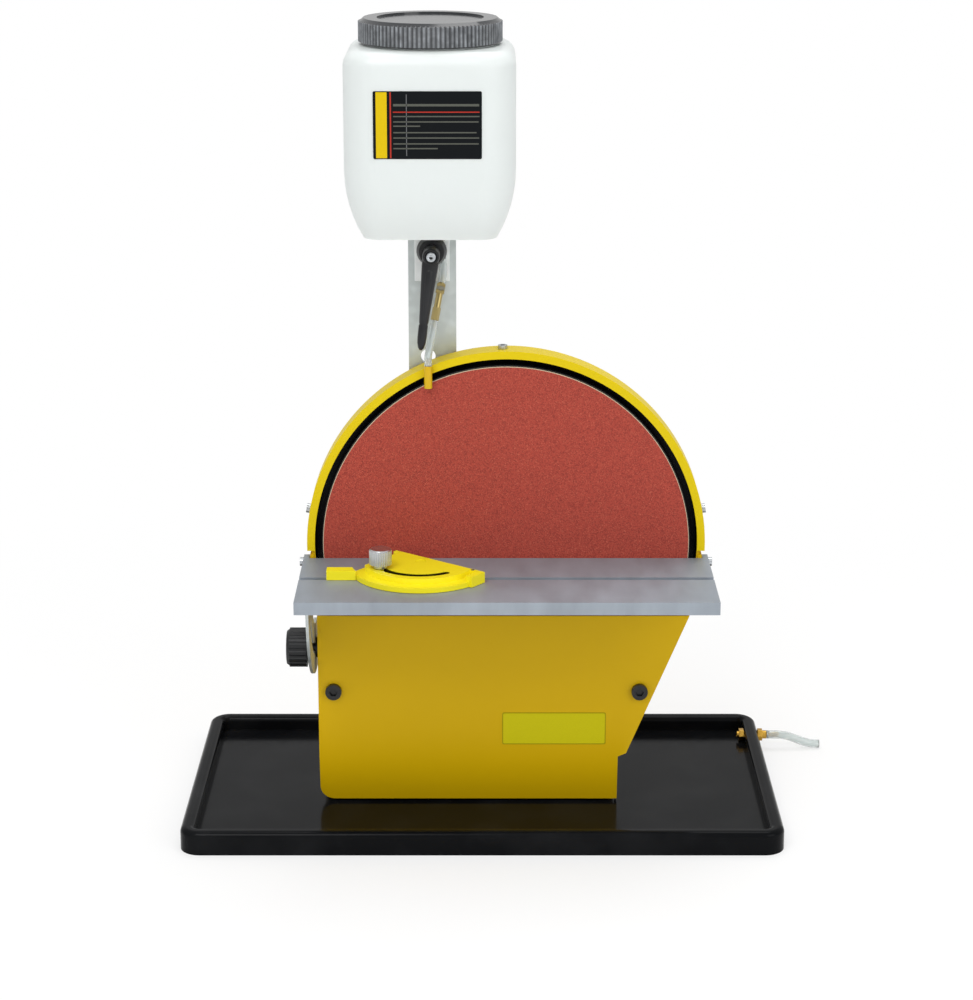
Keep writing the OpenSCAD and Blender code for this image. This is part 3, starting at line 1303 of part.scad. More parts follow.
module valve_body() color("#a98848") at_valve() difference() {
    union() {
        translate([-2.8, -3, -3.3]) cube([5.6, 6, 6.4]);
        cylinder(d = 4.2, h = 4);
        cylinder(d = barb_d, h = 9);
        translate([0, 0, -13.5]) cylinder(d = 4.4, h = 11);
        translate([0, 0, -21.5]) cylinder(d = 5.4, h = 8.5, $fn = 6);
        translate([0, 0, -26.5]) cylinder(d = barb_d, h = 6);
    }
    translate([0, 0, -30]) cylinder(r = 0.9, h = 50);
    translate([0, -4, 0]) rotate([-90, 0, 0]) cylinder(r = 1.6 + run_gap, h = 6.5);
}

module valve_tap() color("#7c6a3c") at_valve() {
    translate([0, -3.2, 0]) rotate([-90, 0, 0]) cylinder(r = 1.6, h = 2.2);
    translate([-2.6, -4.8, -1]) cube([5.2, 1.6, 2]);
}

module supply_tube() color("#e4ecec") tube(
    bend(valve_c + 21.7 * valve_dir, valve_dir, [nozzle_x, nozzle_y, nozzle_top + 0.3], [0, 0, 1], 4.8, 3, 8),
    [1, 0, 0], tube_d, tube_bore, 16);

module coolant_nozzle() color("#e3c400") difference() {
    union() {
        rod_z(nozzle_x, nozzle_y, nozzle_d / 2, nozzle_top - nozzle_len, nozzle_top);
        rod_z(nozzle_x, nozzle_y, barb_d / 2, nozzle_top - 1, nozzle_top + 5);
        rod_y(nozzle_x, nozzle_pin_z, nozzle_pin_r, nozzle_y, lip_y + lip_t);
        rod_y(nozzle_x, nozzle_pin_z, nozzle_pin_r + 0.8, nozzle_y, lip_y - seat_gap / 2);
    }
    rod_z(nozzle_x, nozzle_y, 0.9, nozzle_top - nozzle_len - 1, nozzle_top + 6);
}

drip_tray();
drain_fitting();
drain_nut();
drain_hose();
base_plate();
rubber_feet();
disc_housing();
front_cover();
cover_screws();
guard_hood();
hood_screws();
grinding_disc();
abrasive_sheet();
disc_screw();
spindle();
spindle_housing();
front_bearing();
rear_bearing();
driven_pulley();
drive_belt();
motor_case();
motor_shaft();
motor_pulley();
motor_plate();
drive_screws();
support_brackets();
rear_housing();
rear_screws();
extraction_port();
switch_frame();
power_rocker();
speed_dial();
control_board();
cord_gland();
work_table();
pivot_screws();
tilt_quadrant();
quadrant_screws();
tilt_bolt();
tilt_knob();
gauge_bar();
gauge_head();
gauge_pivot();
gauge_knob();
support_post();
post_screws();
bottle_bracket();
clamp_bolt();
clamp_boss();
clamp_lever();
coolant_bottle();
bottle_lid();
lid_seal();
bottle_outlet();
outlet_nut();
inlet_tube();
valve_body();
valve_tap();
supply_tube();
coolant_nozzle();
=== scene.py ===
"""Bench disc grinder in a drip tray: finishes, small pieces, stage and camera."""

from math import pi, radians

import bmesh
import bpy
from bpy.props import FloatProperty, PointerProperty, StringProperty
from mathutils import Matrix, Vector


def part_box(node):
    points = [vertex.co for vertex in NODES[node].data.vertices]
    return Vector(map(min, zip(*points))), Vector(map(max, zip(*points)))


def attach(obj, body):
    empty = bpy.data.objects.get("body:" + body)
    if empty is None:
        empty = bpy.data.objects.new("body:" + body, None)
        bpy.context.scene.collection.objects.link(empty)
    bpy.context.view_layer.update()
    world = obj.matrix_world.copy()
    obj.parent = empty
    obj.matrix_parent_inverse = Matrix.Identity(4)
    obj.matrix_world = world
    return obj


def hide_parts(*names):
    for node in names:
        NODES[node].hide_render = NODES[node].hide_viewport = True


bl_info = {
    "name": "Disc grinder with coolant bottle",
    "version": (1, 0, 0),
    "blender": (4, 5, 0),
    "location": "View3D > Sidebar > Grinder",
    "description": "Dresses a bench disc grinder, its drip tray and its coolant bottle",
    "category": "Object",
}

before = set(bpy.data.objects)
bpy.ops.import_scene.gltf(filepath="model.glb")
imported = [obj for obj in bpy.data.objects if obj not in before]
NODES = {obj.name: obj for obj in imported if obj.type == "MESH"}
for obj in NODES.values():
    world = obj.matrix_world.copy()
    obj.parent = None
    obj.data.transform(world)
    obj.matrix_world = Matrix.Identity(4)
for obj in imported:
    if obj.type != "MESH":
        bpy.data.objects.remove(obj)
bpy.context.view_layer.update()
MM = 0.001

# Where the grinding disc turns, in metres
DISC_X, DISC_Z = 0.016, 0.189

# The gauge head's arc slot, in metres about the gauge's pivot: the fence's normal and its direction, how far
# the slot stays from them, and how far below the top the painted shade in the slot begins
SLOT_RADIUS, SLOT_HALF_WIDTH = 0.03, 0.0029
FENCE_NORMAL, FENCE_ALONG = (0.6157, 0.788, 0), (0.788, -0.6157, 0)
SLOT_NEAREST_FENCE, SLOT_END, SLOT_DEPTH = 0.0056, -0.0265, 0.0004


# ---------- nodes and meshes ----------


def paint(code, alpha=1.0):
    """An sRGB hex value as the linear colour a shader takes."""
    parts = [int(code[i : i + 2], 16) / 255 for i in (1, 3, 5)]
    return tuple(p / 12.92 if p <= 0.04045 else ((p + 0.055) / 1.055) ** 2.4 for p in parts) + (alpha,)


def add(tree, kind, inputs=None, **settings):
    """Adds a node with its settings; a socket among the inputs is linked and any other value is set."""
    made = tree.nodes.new(kind)
    for name, value in settings.items():
        setattr(made, name, value)
    for name, value in (inputs or {}).items():
        if isinstance(value, bpy.types.NodeSocket):
            tree.links.new(value, made.inputs[name])
        else:
            made.inputs[name].default_value = value
    return made


def finish_of(name, **sockets):
    """A new material with a Principled shader: (material, its tree, the shader, Object coordinates)."""
    material = bpy.data.materials.new(name)
    material.use_nodes = True
    tree = material.node_tree
    tree.nodes.clear()
    shader = add(tree, "ShaderNodeBsdfPrincipled", {k.replace("_", " "): v for k, v in sockets.items()})
    add(tree, "ShaderNodeOutputMaterial", {"Surface": shader.outputs["BSDF"]})
    return material, tree, shader, add(tree, "ShaderNodeTexCoord").outputs["Object"]


def link(tree, source, shader, socket):
    tree.links.new(source, shader.inputs[socket])


def per_mm(size):
    """The scale of a pattern whose features are size millimetres across."""
    return 1.0 / (size * MM)


def around(tree, place, node):
    """The offset from a CAD node's upright axis, laid flat, and its length."""
    low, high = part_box(node)
    middle = ((low.x + high.x) / 2, (low.y + high.y) / 2, 0)
    offset = add(tree, "ShaderNodeVectorMath", {0: place, 1: middle}, operation="SUBTRACT").outputs[0]
    flat = add(tree, "ShaderNodeVectorMath", {0: offset, 1: (1, 1, 0)}, operation="MULTIPLY").outputs[0]
    return flat, add(tree, "ShaderNodeVectorMath", {0: flat}, operation="LENGTH").outputs["Value"]


def seen_directly(tree):
    """One for rays from the camera, also through clear pieces, and nought for all others."""
    path = add(tree, "ShaderNodeLightPath")
    rays = {0: path.outputs["Is Camera Ray"], 1: path.outputs["Is Transmission Ray"]}
    return add(tree, "ShaderNodeMath", rays, operation="MAXIMUM").outputs[0]


def dress(material, *names, edge=0.3, segments=2):
    """Gives CAD nodes a finish, edges rounded by that many millimetres and smooth curved faces."""
    for name in names:
        piece = NODES[name]
        mesh = piece.data
        mesh.materials.clear()
        mesh.materials.append(material)
        if "custom_normal" in mesh.attributes:
            mesh.attributes.remove(mesh.attributes["custom_normal"])
        mesh.polygons.foreach_set("use_smooth", [True] * len(mesh.polygons))
        weld = piece.modifiers.new("join", "WELD")
        weld.merge_threshold = 1e-6
        if edge:
            bevel = piece.modifiers.new("edges", "BEVEL")
            bevel.width = edge * MM
            bevel.segments = segments
            bevel.limit_method = "ANGLE"
            bevel.angle_limit = radians(38)
            bevel.use_clamp_overlap = True
        else:
            split = piece.modifiers.new("edges", "EDGE_SPLIT")
            split.split_angle = radians(38)
        normals = piece.modifiers.new("shading", "WEIGHTED_NORMAL")
        normals.keep_sharp = True


def piece_from(bm, name, material, body, smooth=True):
    """Turns a bmesh in millimetres into a piece that rides on a body."""
    bmesh.ops.transform(bm, matrix=Matrix.Scale(MM, 4), verts=bm.verts)
    mesh = bpy.data.meshes.new(name)
    bm.to_mesh(mesh)
    bm.free()
    mesh.materials.append(material)
    mesh.polygons.foreach_set("use_smooth", [smooth] * len(mesh.polygons))
    piece = bpy.data.objects.new(name, mesh)
    bpy.context.scene.collection.objects.link(piece)
    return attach(piece, body)


def plate(low, high, corner, edge=0.06):
    """A thin plate facing -Y from its low to its high corner, its four corners rounded in its face."""
    bm = bmesh.new()
    low, high = Vector(low), Vector(high)
    bmesh.ops.create_cube(bm, size=1, matrix=Matrix.LocRotScale((low + high) / 2, None, high - low))
    across = [e for e in bm.edges if abs((e.verts[0].co - e.verts[1].co).normalized().y) > 0.9]
    bmesh.ops.bevel(bm, geom=across, offset=corner, affect="EDGES", segments=6, profile=0.5, material=-1)
    front = [f for f in bm.faces if f.normal.y < -0.9]
    rim = [e for e in front[0].edges]
    bmesh.ops.bevel(bm, geom=rim, offset=edge, affect="EDGES", segments=1, profile=0.5, material=-1)
    return bm


def loft(bm, rings, caps=True):
    """Bridges circles, each given as (matrix, radius, sides)."""
    edges = []
    for i, (matrix, radius, sides) in enumerate(rings):
        end = caps and i in (0, len(rings) - 1)
        made = bmesh.ops.create_circle(bm, cap_ends=end, radius=radius, segments=sides, matrix=matrix)
        edges.append(list({e for v in made["verts"] for e in v.link_edges}))
    for a, b in zip(edges, edges[1:]):
        bmesh.ops.bridge_loops(bm, edges=a + b)
    bmesh.ops.recalc_face_normals(bm, faces=bm.faces)
    return edges


def frames_along(path, side=(0, 1, 0)):
    """A matrix at each point of a path, its Z along the path."""
    made = []
    for i, point in enumerate(path):
        ahead = (path[min(i + 1, len(path) - 1)] - path[max(i - 1, 0)]).normalized()
        x_axis = Vector(side)
        y_axis = ahead.cross(x_axis).normalized()
        turn = Matrix((x_axis, y_axis, ahead)).transposed().to_4x4()
        made.append(Matrix.Translation(point) @ turn)
    return made


def bezier(points, t):
    p = [Vector(q) for q in points]
    return (1 - t) ** 3 * p[0] + 3 * t * (1 - t) ** 2 * p[1] + 3 * t * t * (1 - t) * p[2] + t**3 * p[3]


# ---------- sizes and colours ----------


def length(name, value, text, low=0.0, high=1.0):
    return FloatProperty(
        name=name, description=text, default=value, min=low, max=high, subtype="DISTANCE", unit="LENGTH"
    )


def colour(name, value, text):
    return StringProperty(name=name, description=text, default=value)


class DISCGRINDER_PG_sizes(bpy.types.PropertyGroup):
    """Sizes of the pieces made here."""

    hose_diameter: length("Hose diameter", 0.006, "Outer diameter of the drain hose", 0.004, 0.01)
    hose_bore: length("Hose bore", 0.0038, "Bore of the drain hose", 0.002, 0.005)
    hose_run: length("Hose run", 0.039, "How far the drain hose reaches from the tray", 0.036, 0.06)
    label_thickness: length("Label thickness", 0.0002, "Thickness of the bottle's label", 0.0001, 0.0005)
    badge_thickness: length("Badge thickness", 0.0003, "Thickness of the cover's badge", 0.0001, 0.0005)
    grit: FloatProperty(name="Grit", description="Size of the grains drawn on the disc, in mm", default=0.6)
    peel: FloatProperty(name="Orange peel", description="Waviness of the powder coat, in mm", default=1.4)
    floor: length("Floor", 6.0, "Half the width of the floor", 1.0, 12.0)
    camera_lens: FloatProperty(name="Lens", description="Focal length of the camera, in mm", default=89.89)


class DISCGRINDER_PG_colours(bpy.types.PropertyGroup):
    """Colours of the finishes, as sRGB hex values."""

    cover: colour("Cover", "#d6ae04", "Powder coat of the housing and its cover")
    hood: colour("Hood", "#dcc208", "Powder coat of the guard hood")
    gauge: colour("Gauge", "#fdee1e", "Enamel of the mitre gauge")
    tray: colour("Tray", "#0d0e10", "Moulded tray")
    grit: colour("Grit", "#a84031", "Abrasive grains")
    grit_dark: colour("Dark grit", "#8d3227", "Resin between the grains")
    grit_light: colour("Light grit", "#bb5843", "Grains that catch the light")
    table: colour("Table", "#9da5ae", "Milled table")
    zinc: colour("Zinc", "#cdd4d3", "Zinc-plated sheet")
    # The bracket's zinc is the zinc made lighter: painted light that keeps the strap bright where the bottle
    # shades it.
    painted_light_zinc: colour("Bright zinc", "#eff2f1", "Zinc-plated sheet of the bottle's bracket")
    bottle: colour("Bottle", "#e4ebe9", "Natural polyethylene")
    lid: colour("Lid", "#2a2c2f", "Bottle lid")
    label: colour("Label", "#0f1215", "Ground of the label")
    label_band: colour("Label band", "#d9b90e", "Yellow band of the label")
    label_line: colour("Label line", "#b3362a", "Red lines of the label")
    badge: colour("Badge", "#cfc50e", "Badge on the cover")


def sizes():
    return bpy.context.scene.disc_grinder_sizes


def colours():
    return bpy.context.scene.disc_grinder_colours


# ---------- finishes ----------


def powder_coat(name, code, black_inside=False):
    """Polyester powder coat baked on sheet steel: even gloss with a fine orange peel."""
    material, tree, shader, place = finish_of(name, Roughness=0.38, Specular_IOR_Level=0.15)
    broad = add(tree, "ShaderNodeTexNoise", {"Vector": place, "Scale": per_mm(70), "Detail": 3.0})
    shade = add(
        tree,
        "ShaderNodeMix",
        {0: broad.outputs[0], 6: [c * 0.93 for c in paint(code)[:3]] + [1], 7: paint(code)},
        data_type="RGBA",
    ).outputs[2]
    if black_inside:
        # The drum's inside, behind the disc, is coloured black.
        offset = add(
            tree, "ShaderNodeVectorMath", {0: place, 1: (DISC_X, 0.0, DISC_Z)}, operation="SUBTRACT"
        ).outputs[0]
        flat = add(tree, "ShaderNodeVectorMath", {0: offset, 1: (1, 0, 1)}, operation="MULTIPLY").outputs[0]
        reach = add(tree, "ShaderNodeVectorMath", {0: flat}, operation="LENGTH").outputs["Value"]
        inside = add(tree, "ShaderNodeMath", {0: reach, 1: 0.1299}, operation="LESS_THAN").outputs[0]
        depth = add(tree, "ShaderNodeSeparateXYZ", {0: place}).outputs["Y"]
        behind = add(tree, "ShaderNodeMath", {0: depth, 1: -0.0214}, operation="GREATER_THAN").outputs[0]
        before = add(tree, "ShaderNodeMath", {0: depth, 1: -0.0025}, operation="LESS_THAN").outputs[0]
        deep = add(tree, "ShaderNodeMath", {0: behind, 1: before}, operation="MULTIPLY").outputs[0]
        black = add(tree, "ShaderNodeMath", {0: inside, 1: deep}, operation="MULTIPLY").outputs[0]
        inner = {0: black, 6: shade, 7: paint("#08080a")}
        shade = add(tree, "ShaderNodeMix", inner, data_type="RGBA").outputs[2]
    link(tree, shade, shader, "Base Color")
    peel = add(tree, "ShaderNodeTexNoise", {"Vector": place, "Scale": per_mm(sizes().peel), "Detail": 1.0})
    bump = add(
        tree, "ShaderNodeBump", {"Height": peel.outputs[0], "Strength": 0.12, "Distance": 0.02 * MM}
    )
    link(tree, bump.outputs[0], shader, "Normal")
    return material


def moulded_black(name, code="#131416", roughness=0.3, grain=0.7, shine=0.4):
    """Injection-moulded or vacuum-formed ABS: black with a faint grain and a soft shine."""
    material, tree, shader, place = finish_of(name, Specular_IOR_Level=shine)
    cloud = add(tree, "ShaderNodeTexNoise", {"Vector": place, "Scale": per_mm(45), "Detail": 5.0})
    dust = add(tree, "ShaderNodeMapRange", {"Value": cloud.outputs[0], "From Min": 0.45, "From Max": 0.75})
    shade = add(
        tree,
        "ShaderNodeMix",
        {0: dust.outputs[0], 6: paint(code), 7: [c * 1.5 + 0.004 for c in paint(code)[:3]] + [1]},
        data_type="RGBA",
    )
    link(tree, shade.outputs[2], shader, "Base Color")
    fine = add(tree, "ShaderNodeTexNoise", {"Vector": place, "Scale": per_mm(6), "Detail": 6.0})
    dull = add(
        tree,
        "ShaderNodeMapRange",
        {
            "Value": fine.outputs[0],
            "From Min": 0.3,
            "From Max": 0.7,
            "To Min": roughness,
            "To Max": roughness + 0.08,
        },
    )
    link(tree, dull.outputs[0], shader, "Roughness")
    skin = add(tree, "ShaderNodeTexNoise", {"Vector": place, "Scale": per_mm(grain), "Detail": 2.0})
    bump = add(tree, "ShaderNodeBump", {"Height": skin.outputs[0], "Strength": 0.15, "Distance": 0.02 * MM})
    link(tree, bump.outputs[0], shader, "Normal")
    return material


def abrasive_paper():
    """Aluminium oxide grains bonded on paper: matt red brown, speckled, with a pale cut edge."""
    tones = colours()
    material, tree, shader, place = finish_of("aluminium_oxide_paper", Roughness=0.85)
    # Real grains are 0.2 mm; they are drawn coarser so that they show.
    grains = add(
        tree, "ShaderNodeTexVoronoi", {"Vector": place, "Scale": per_mm(sizes().grit), "Randomness": 1.0}
    )
    grey = add(tree, "ShaderNodeSeparateColor", {0: grains.outputs["Color"]})
    dark = add(tree, "ShaderNodeMapRange", {"Value": grey.outputs[0], "From Min": 0.15, "From Max": 0.55})
    # Painted highlights: a random few grains take the light grit colour, as grains catching the light.
    light = add(tree, "ShaderNodeMapRange", {"Value": grey.outputs[1], "From Min": 0.8, "From Max": 1.0})
    base = add(
        tree,
        "ShaderNodeMix",
        {0: dark.outputs[0], 6: paint(tones.grit_dark), 7: paint(tones.grit)},
        data_type="RGBA",
    )
    lit = add(
        tree,
        "ShaderNodeMix",
        {0: light.outputs[0], 6: base.outputs[2], 7: paint(tones.grit_light)},
        data_type="RGBA",
    )
    cloud = add(tree, "ShaderNodeTexNoise", {"Vector": place, "Scale": per_mm(90), "Detail": 3.0})
    used = add(tree, "ShaderNodeMapRange", {"Value": cloud.outputs[0], "To Min": 0.92, "To Max": 1.08})
    shade = add(
        tree,
        "ShaderNodeMix",
        {0: 1.0, 6: lit.outputs[2], 7: used.outputs[0]},
        data_type="RGBA",
        blend_type="MULTIPLY",
    )
    centre = (DISC_X, 0.0, DISC_Z)
    offset = add(tree, "ShaderNodeVectorMath", {0: place, 1: centre}, operation="SUBTRACT").outputs[0]
    flat = add(tree, "ShaderNodeVectorMath", {0: offset, 1: (1, 0, 1)}, operation="MULTIPLY").outputs[0]
    reach = add(tree, "ShaderNodeVectorMath", {0: flat}, operation="LENGTH").outputs["Value"]
    edge = add(tree, "ShaderNodeMath", {0: reach, 1: 0.1238}, operation="GREATER_THAN").outputs[0]
    cut = add(tree, "ShaderNodeMix", {0: edge, 6: shade.outputs[2], 7: paint("#c8b79c")}, data_type="RGBA")
    link(tree, cut.outputs[2], shader, "Base Color")
    bump = add(
        tree, "ShaderNodeBump", {"Height": grains.outputs["Distance"], "Strength": 0.5, "Distance": 0.25 * MM}
    )
    link(tree, bump.outputs[0], shader, "Normal")
    return material


def milled_aluminium():
    """A planed aluminium casting: fine cutter lines across and cloudy lighter and darker patches."""
    material, tree, shader, place = finish_of("milled_aluminium", Metallic=0.45)
    lines = add(tree, "ShaderNodeMapping", {"Vector": place, "Scale": (per_mm(60), per_mm(0.7), per_mm(0.7))})
    streak = add(tree, "ShaderNodeTexNoise", {"Vector": lines.outputs[0], "Scale": 1.0, "Detail": 3.0})
    patches = add(tree, "ShaderNodeMapping", {"Vector": place, "Scale": (per_mm(16), per_mm(45), per_mm(45))})
    cloud = add(tree, "ShaderNodeTexNoise", {"Vector": patches.outputs[0], "Scale": 1.0, "Detail": 4.0})
    tone = paint(colours().table)
    shade = add(
        tree,
        "ShaderNodeMix",
        {
            0: cloud.outputs[0],
            6: [c * 0.7 for c in tone[:3]] + [1],
            7: [min(1, c * 1.2) for c in tone[:3]] + [1],
        },
        data_type="RGBA",
    )
    link(tree, shade.outputs[2], shader, "Base Color")
    both = add(tree, "ShaderNodeMath", {0: streak.outputs[0], 1: cloud.outputs[0]}, operation="ADD")
    dull = add(
        tree,
        "ShaderNodeMapRange",
        {"Value": both.outputs[0], "From Min": 0.7, "From Max": 1.3, "To Min": 0.5, "To Max": 0.6},
    )
    link(tree, dull.outputs[0], shader, "Roughness")
    bump = add(tree, "ShaderNodeBump", {"Height": streak.outputs[0], "Strength": 0.25, "Distance": 0.03 * MM})
    link(tree, bump.outputs[0], shader, "Normal")
    return material


def zinc_sheet(name, code):
    """Zinc-plated sheet steel: grey, satin, with a faint crystal pattern."""
    material, tree, shader, place = finish_of(name, Metallic=0.85)
    crystals = add(tree, "ShaderNodeTexVoronoi", {"Vector": place, "Scale": per_mm(5)}, feature="SMOOTH_F1")
    grey = add(tree, "ShaderNodeSeparateColor", {0: crystals.outputs["Color"]})
    tone = paint(code)
    shade = add(
        tree,
        "ShaderNodeMix",
        {0: grey.outputs[0], 6: [c * 0.84 for c in tone[:3]] + [1], 7: tone},
        data_type="RGBA",
    )
    link(tree, shade.outputs[2], shader, "Base Color")
    dull = add(tree, "ShaderNodeMapRange", {"Value": grey.outputs[1], "To Min": 0.42, "To Max": 0.56})
    link(tree, dull.outputs[0], shader, "Roughness")
    return material


def bare_metal(name, code, roughness=0.3, line=0.4, metallic=1.0):
    """Turned or plated metal: a clean shine with fine tool marks."""
    material, tree, shader, place = finish_of(name, Metallic=metallic)
    marks = add(tree, "ShaderNodeTexNoise", {"Vector": place, "Scale": per_mm(line), "Detail": 2.0})
    cloud = add(tree, "ShaderNodeTexNoise", {"Vector": place, "Scale": per_mm(9), "Detail": 3.0})
    tone = paint(code)
    shade = add(
        tree,
        "ShaderNodeMix",
        {0: cloud.outputs[0], 6: [c * 0.78 for c in tone[:3]] + [1], 7: tone},
        data_type="RGBA",
    )
    link(tree, shade.outputs[2], shader, "Base Color")
    dull = add(
        tree,
        "ShaderNodeMapRange",
        {"Value": marks.outputs[0], "To Min": roughness - 0.08, "To Max": roughness + 0.1},
    )
    link(tree, dull.outputs[0], shader, "Roughness")
    return material


def cast_enamel(name, code, slotted=False):
    """Enamelled zinc casting: thick yellow paint over a lightly uneven casting."""
    material, tree, shader, place = finish_of(name, Roughness=0.32, Specular_IOR_Level=0.35)
    cloud = add(tree, "ShaderNodeTexNoise", {"Vector": place, "Scale": per_mm(14), "Detail": 3.0})
    tone = paint(code)
    shade = add(
        tree,
        "ShaderNodeMix",
        {0: cloud.outputs[0], 6: [c * 0.9 for c in tone[:3]] + [1], 7: tone},
        data_type="RGBA",
    ).outputs[2]
    if slotted:
        # Painted shade: the arc slot's walls and floor below the top are coloured dark, so the slot reads as
        # a dark line.
        flat, reach = around(tree, place, "gauge_pivot")
        ring = {0: reach, 1: SLOT_RADIUS, 2: SLOT_HALF_WIDTH}
        slot_shade_mask = add(tree, "ShaderNodeMath", ring, operation="COMPARE").outputs[0]
        fence = add(tree, "ShaderNodeVectorMath", {0: flat, 1: FENCE_NORMAL}, operation="DOT_PRODUCT")
        along = add(tree, "ShaderNodeVectorMath", {0: flat, 1: FENCE_ALONG}, operation="DOT_PRODUCT")
        height = add(tree, "ShaderNodeSeparateXYZ", {0: place}).outputs["Z"]
        limits = (
            (fence.outputs["Value"], SLOT_NEAREST_FENCE, "LESS_THAN"),
            (along.outputs["Value"], SLOT_END, "GREATER_THAN"),
            (height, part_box("gauge_head")[1].z - SLOT_DEPTH, "LESS_THAN"),
        )
        for value, limit, side in limits:
            inside = add(tree, "ShaderNodeMath", {0: value, 1: limit}, operation=side).outputs[0]
            slot_shade_mask = add(tree, "ShaderNodeMath", {0: slot_shade_mask, 1: inside}, operation="MULTIPLY").outputs[0]
        # The dark colour of the painted shade in the slot.
        bare = paint("#2a2408")
        shade = add(tree, "ShaderNodeMix", {0: slot_shade_mask, 6: shade, 7: bare}, data_type="RGBA").outputs[2]
    link(tree, shade, shader, "Base Color")
    lumps = add(tree, "ShaderNodeTexNoise", {"Vector": place, "Scale": per_mm(3), "Detail": 2.0})
    bump = add(tree, "ShaderNodeBump", {"Height": lumps.outputs[0], "Strength": 0.3, "Distance": 0.08 * MM})
    link(tree, bump.outputs[0], shader, "Normal")
    return material


def ribbed_lid():
    """Glossy moulded polypropylene whose rib crests carry a pale painted highlight, uneven along the ribs."""
    material, tree, shader, place = finish_of("glossy_ribbed_lid", Roughness=0.14, Specular_IOR_Level=0.8)
    low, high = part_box("bottle_lid")
    outer = (high.x - low.x) / 2
    reach = around(tree, place, "bottle_lid")[1]
    # Painted highlight: towards the lid's outer edge, on the rib crests, the colour turns pale grey,
    # unevenly.
    crest = add(tree, "ShaderNodeMapRange", {"Value": reach, "From Min": outer - 0.9 * MM, "From Max": outer})
    cloud = add(tree, "ShaderNodeTexNoise", {"Vector": place, "Scale": per_mm(6), "Detail": 3.0})
    uneven_highlight = add(
        tree,
        "ShaderNodeMapRange",
        {"Value": cloud.outputs[0], "From Min": 0.35, "From Max": 0.7, "To Min": 0.35},
    )
    painted_crest_highlight = add(tree, "ShaderNodeMath", {0: crest.outputs[0], 1: uneven_highlight.outputs[0]}, operation="MULTIPLY")
    shade = add(
        tree,
        "ShaderNodeMix",
        {0: painted_crest_highlight.outputs[0], 6: paint(colours().lid), 7: paint("#9a9ea3")},
        data_type="RGBA",
    )
    link(tree, shade.outputs[2], shader, "Base Color")
    return material


def milky_polyethylene():
    """Blow-moulded natural polyethylene: milky, light goes a little way in, with a soft uneven skin."""
    material, tree, shader, place = finish_of(
        "milky_polyethylene",
        Roughness=0.34,
        IOR=1.51,
        Subsurface_Weight=0.45,
        Subsurface_Radius=(0.012, 0.012, 0.012),
        Subsurface_Scale=0.6,
    )
    cloud = add(tree, "ShaderNodeTexNoise", {"Vector": place, "Scale": per_mm(55), "Detail": 2.0})
    tone = paint(colours().bottle)
    shade = add(
        tree,
        "ShaderNodeMix",
        {0: cloud.outputs[0], 6: [c * 0.95 for c in tone[:3]] + [1], 7: tone},
        data_type="RGBA",
    )
    link(tree, shade.outputs[2], shader, "Base Color")
    waves = add(tree, "ShaderNodeTexNoise", {"Vector": place, "Scale": per_mm(22), "Detail": 1.0})
    bump = add(tree, "ShaderNodeBump", {"Height": waves.outputs[0], "Strength": 0.2, "Distance": 0.6 * MM})
    link(tree, bump.outputs[0], shader, "Normal")
    return material


def clear_vinyl():
    """Extruded soft vinyl tube: clear with a slight haze."""
    material, tree, shader, place = finish_of(
        "clear_vinyl", Base_Color=paint("#eef4f3"), IOR=1.53, Transmission_Weight=0.7
    )
    haze = add(tree, "ShaderNodeTexNoise", {"Vector": place, "Scale": per_mm(4), "Detail": 3.0})
    dull = add(tree, "ShaderNodeMapRange", {"Value": haze.outputs[0], "To Min": 0.08, "To Max": 0.25})
    link(tree, dull.outputs[0], shader, "Roughness")
    return material


def printed_vinyl(name, code):
    """Printed vinyl film: flat colour under a satin clear layer."""
    material, tree, shader, place = finish_of(name, Specular_IOR_Level=0.1)
    fine = add(tree, "ShaderNodeTexNoise", {"Vector": place, "Scale": per_mm(0.8), "Detail": 2.0})
    tone = paint(code)
    shade = add(
        tree,
        "ShaderNodeMix",
        {0: fine.outputs[0], 6: [c * 0.9 for c in tone[:3]] + [1], 7: tone},
        data_type="RGBA",
    )
    link(tree, shade.outputs[2], shader, "Base Color")
    dull = add(tree, "ShaderNodeMapRange", {"Value": fine.outputs[0], "To Min": 0.3, "To Max": 0.42})
    link(tree, dull.outputs[0], shader, "Roughness")
    return material


# ---------- operators ----------


class DISCGRINDER_OT_camera(bpy.types.Operator):
    """Puts the camera in front of the grinder, a little above the bottle"""

    bl_idname = "disc_grinder.camera"
    bl_label = "Camera"

    def execute(self, context):
        data = bpy.data.cameras.new("camera")
        data.lens = sizes().camera_lens
        data.sensor_width = 36
        data.shift_y = -0.08
        camera = bpy.data.objects.new("camera", data)
        camera.location = (0.0028, -1.6401, 0.7042)
        camera.rotation_euler = (pi / 2 - 0.2584, 0, 0)
        context.scene.collection.objects.link(camera)
        context.scene.camera = camera
        return {"FINISHED"}


class DISCGRINDER_OT_drain_hose(bpy.types.Operator):
    """Makes the short clear hose on the tray's drain"""

    bl_idname = "disc_grinder.drain_hose"
    bl_label = "Drain hose"

    def execute(self, context):
        size = sizes()
        start = Vector((208.7, 78.0, 10.7))
        run, fall = size.hose_run / MM, 10.7 - size.hose_diameter / MM / 2 - 0.4
        sag = [(6, 0, 0), (6 + (run - 6) * 0.45, 0, 0), (6 + (run - 6) * 0.55, 0, -fall), (run, 0, -fall)]
        path = [start, start + Vector((3, 0, 0))] + [start + bezier(sag, i / 17) for i in range(18)]
        bm = bmesh.new()
        frames = frames_along(path)
        outer = loft(bm, [(f, size.hose_diameter / MM / 2, 24) for f in frames], caps=False)
        inner = loft(bm, [(f, size.hose_bore / MM / 2, 24) for f in frames], caps=False)
        for end in (0, -1):
            bmesh.ops.bridge_loops(bm, edges=outer[end] + inner[end])
        bmesh.ops.recalc_face_normals(bm, faces=bm.faces)
        hose = piece_from(bm, "clear_drain_hose", clear_vinyl(), "machine")
        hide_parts("drain_hose")
        return {"FINISHED"}


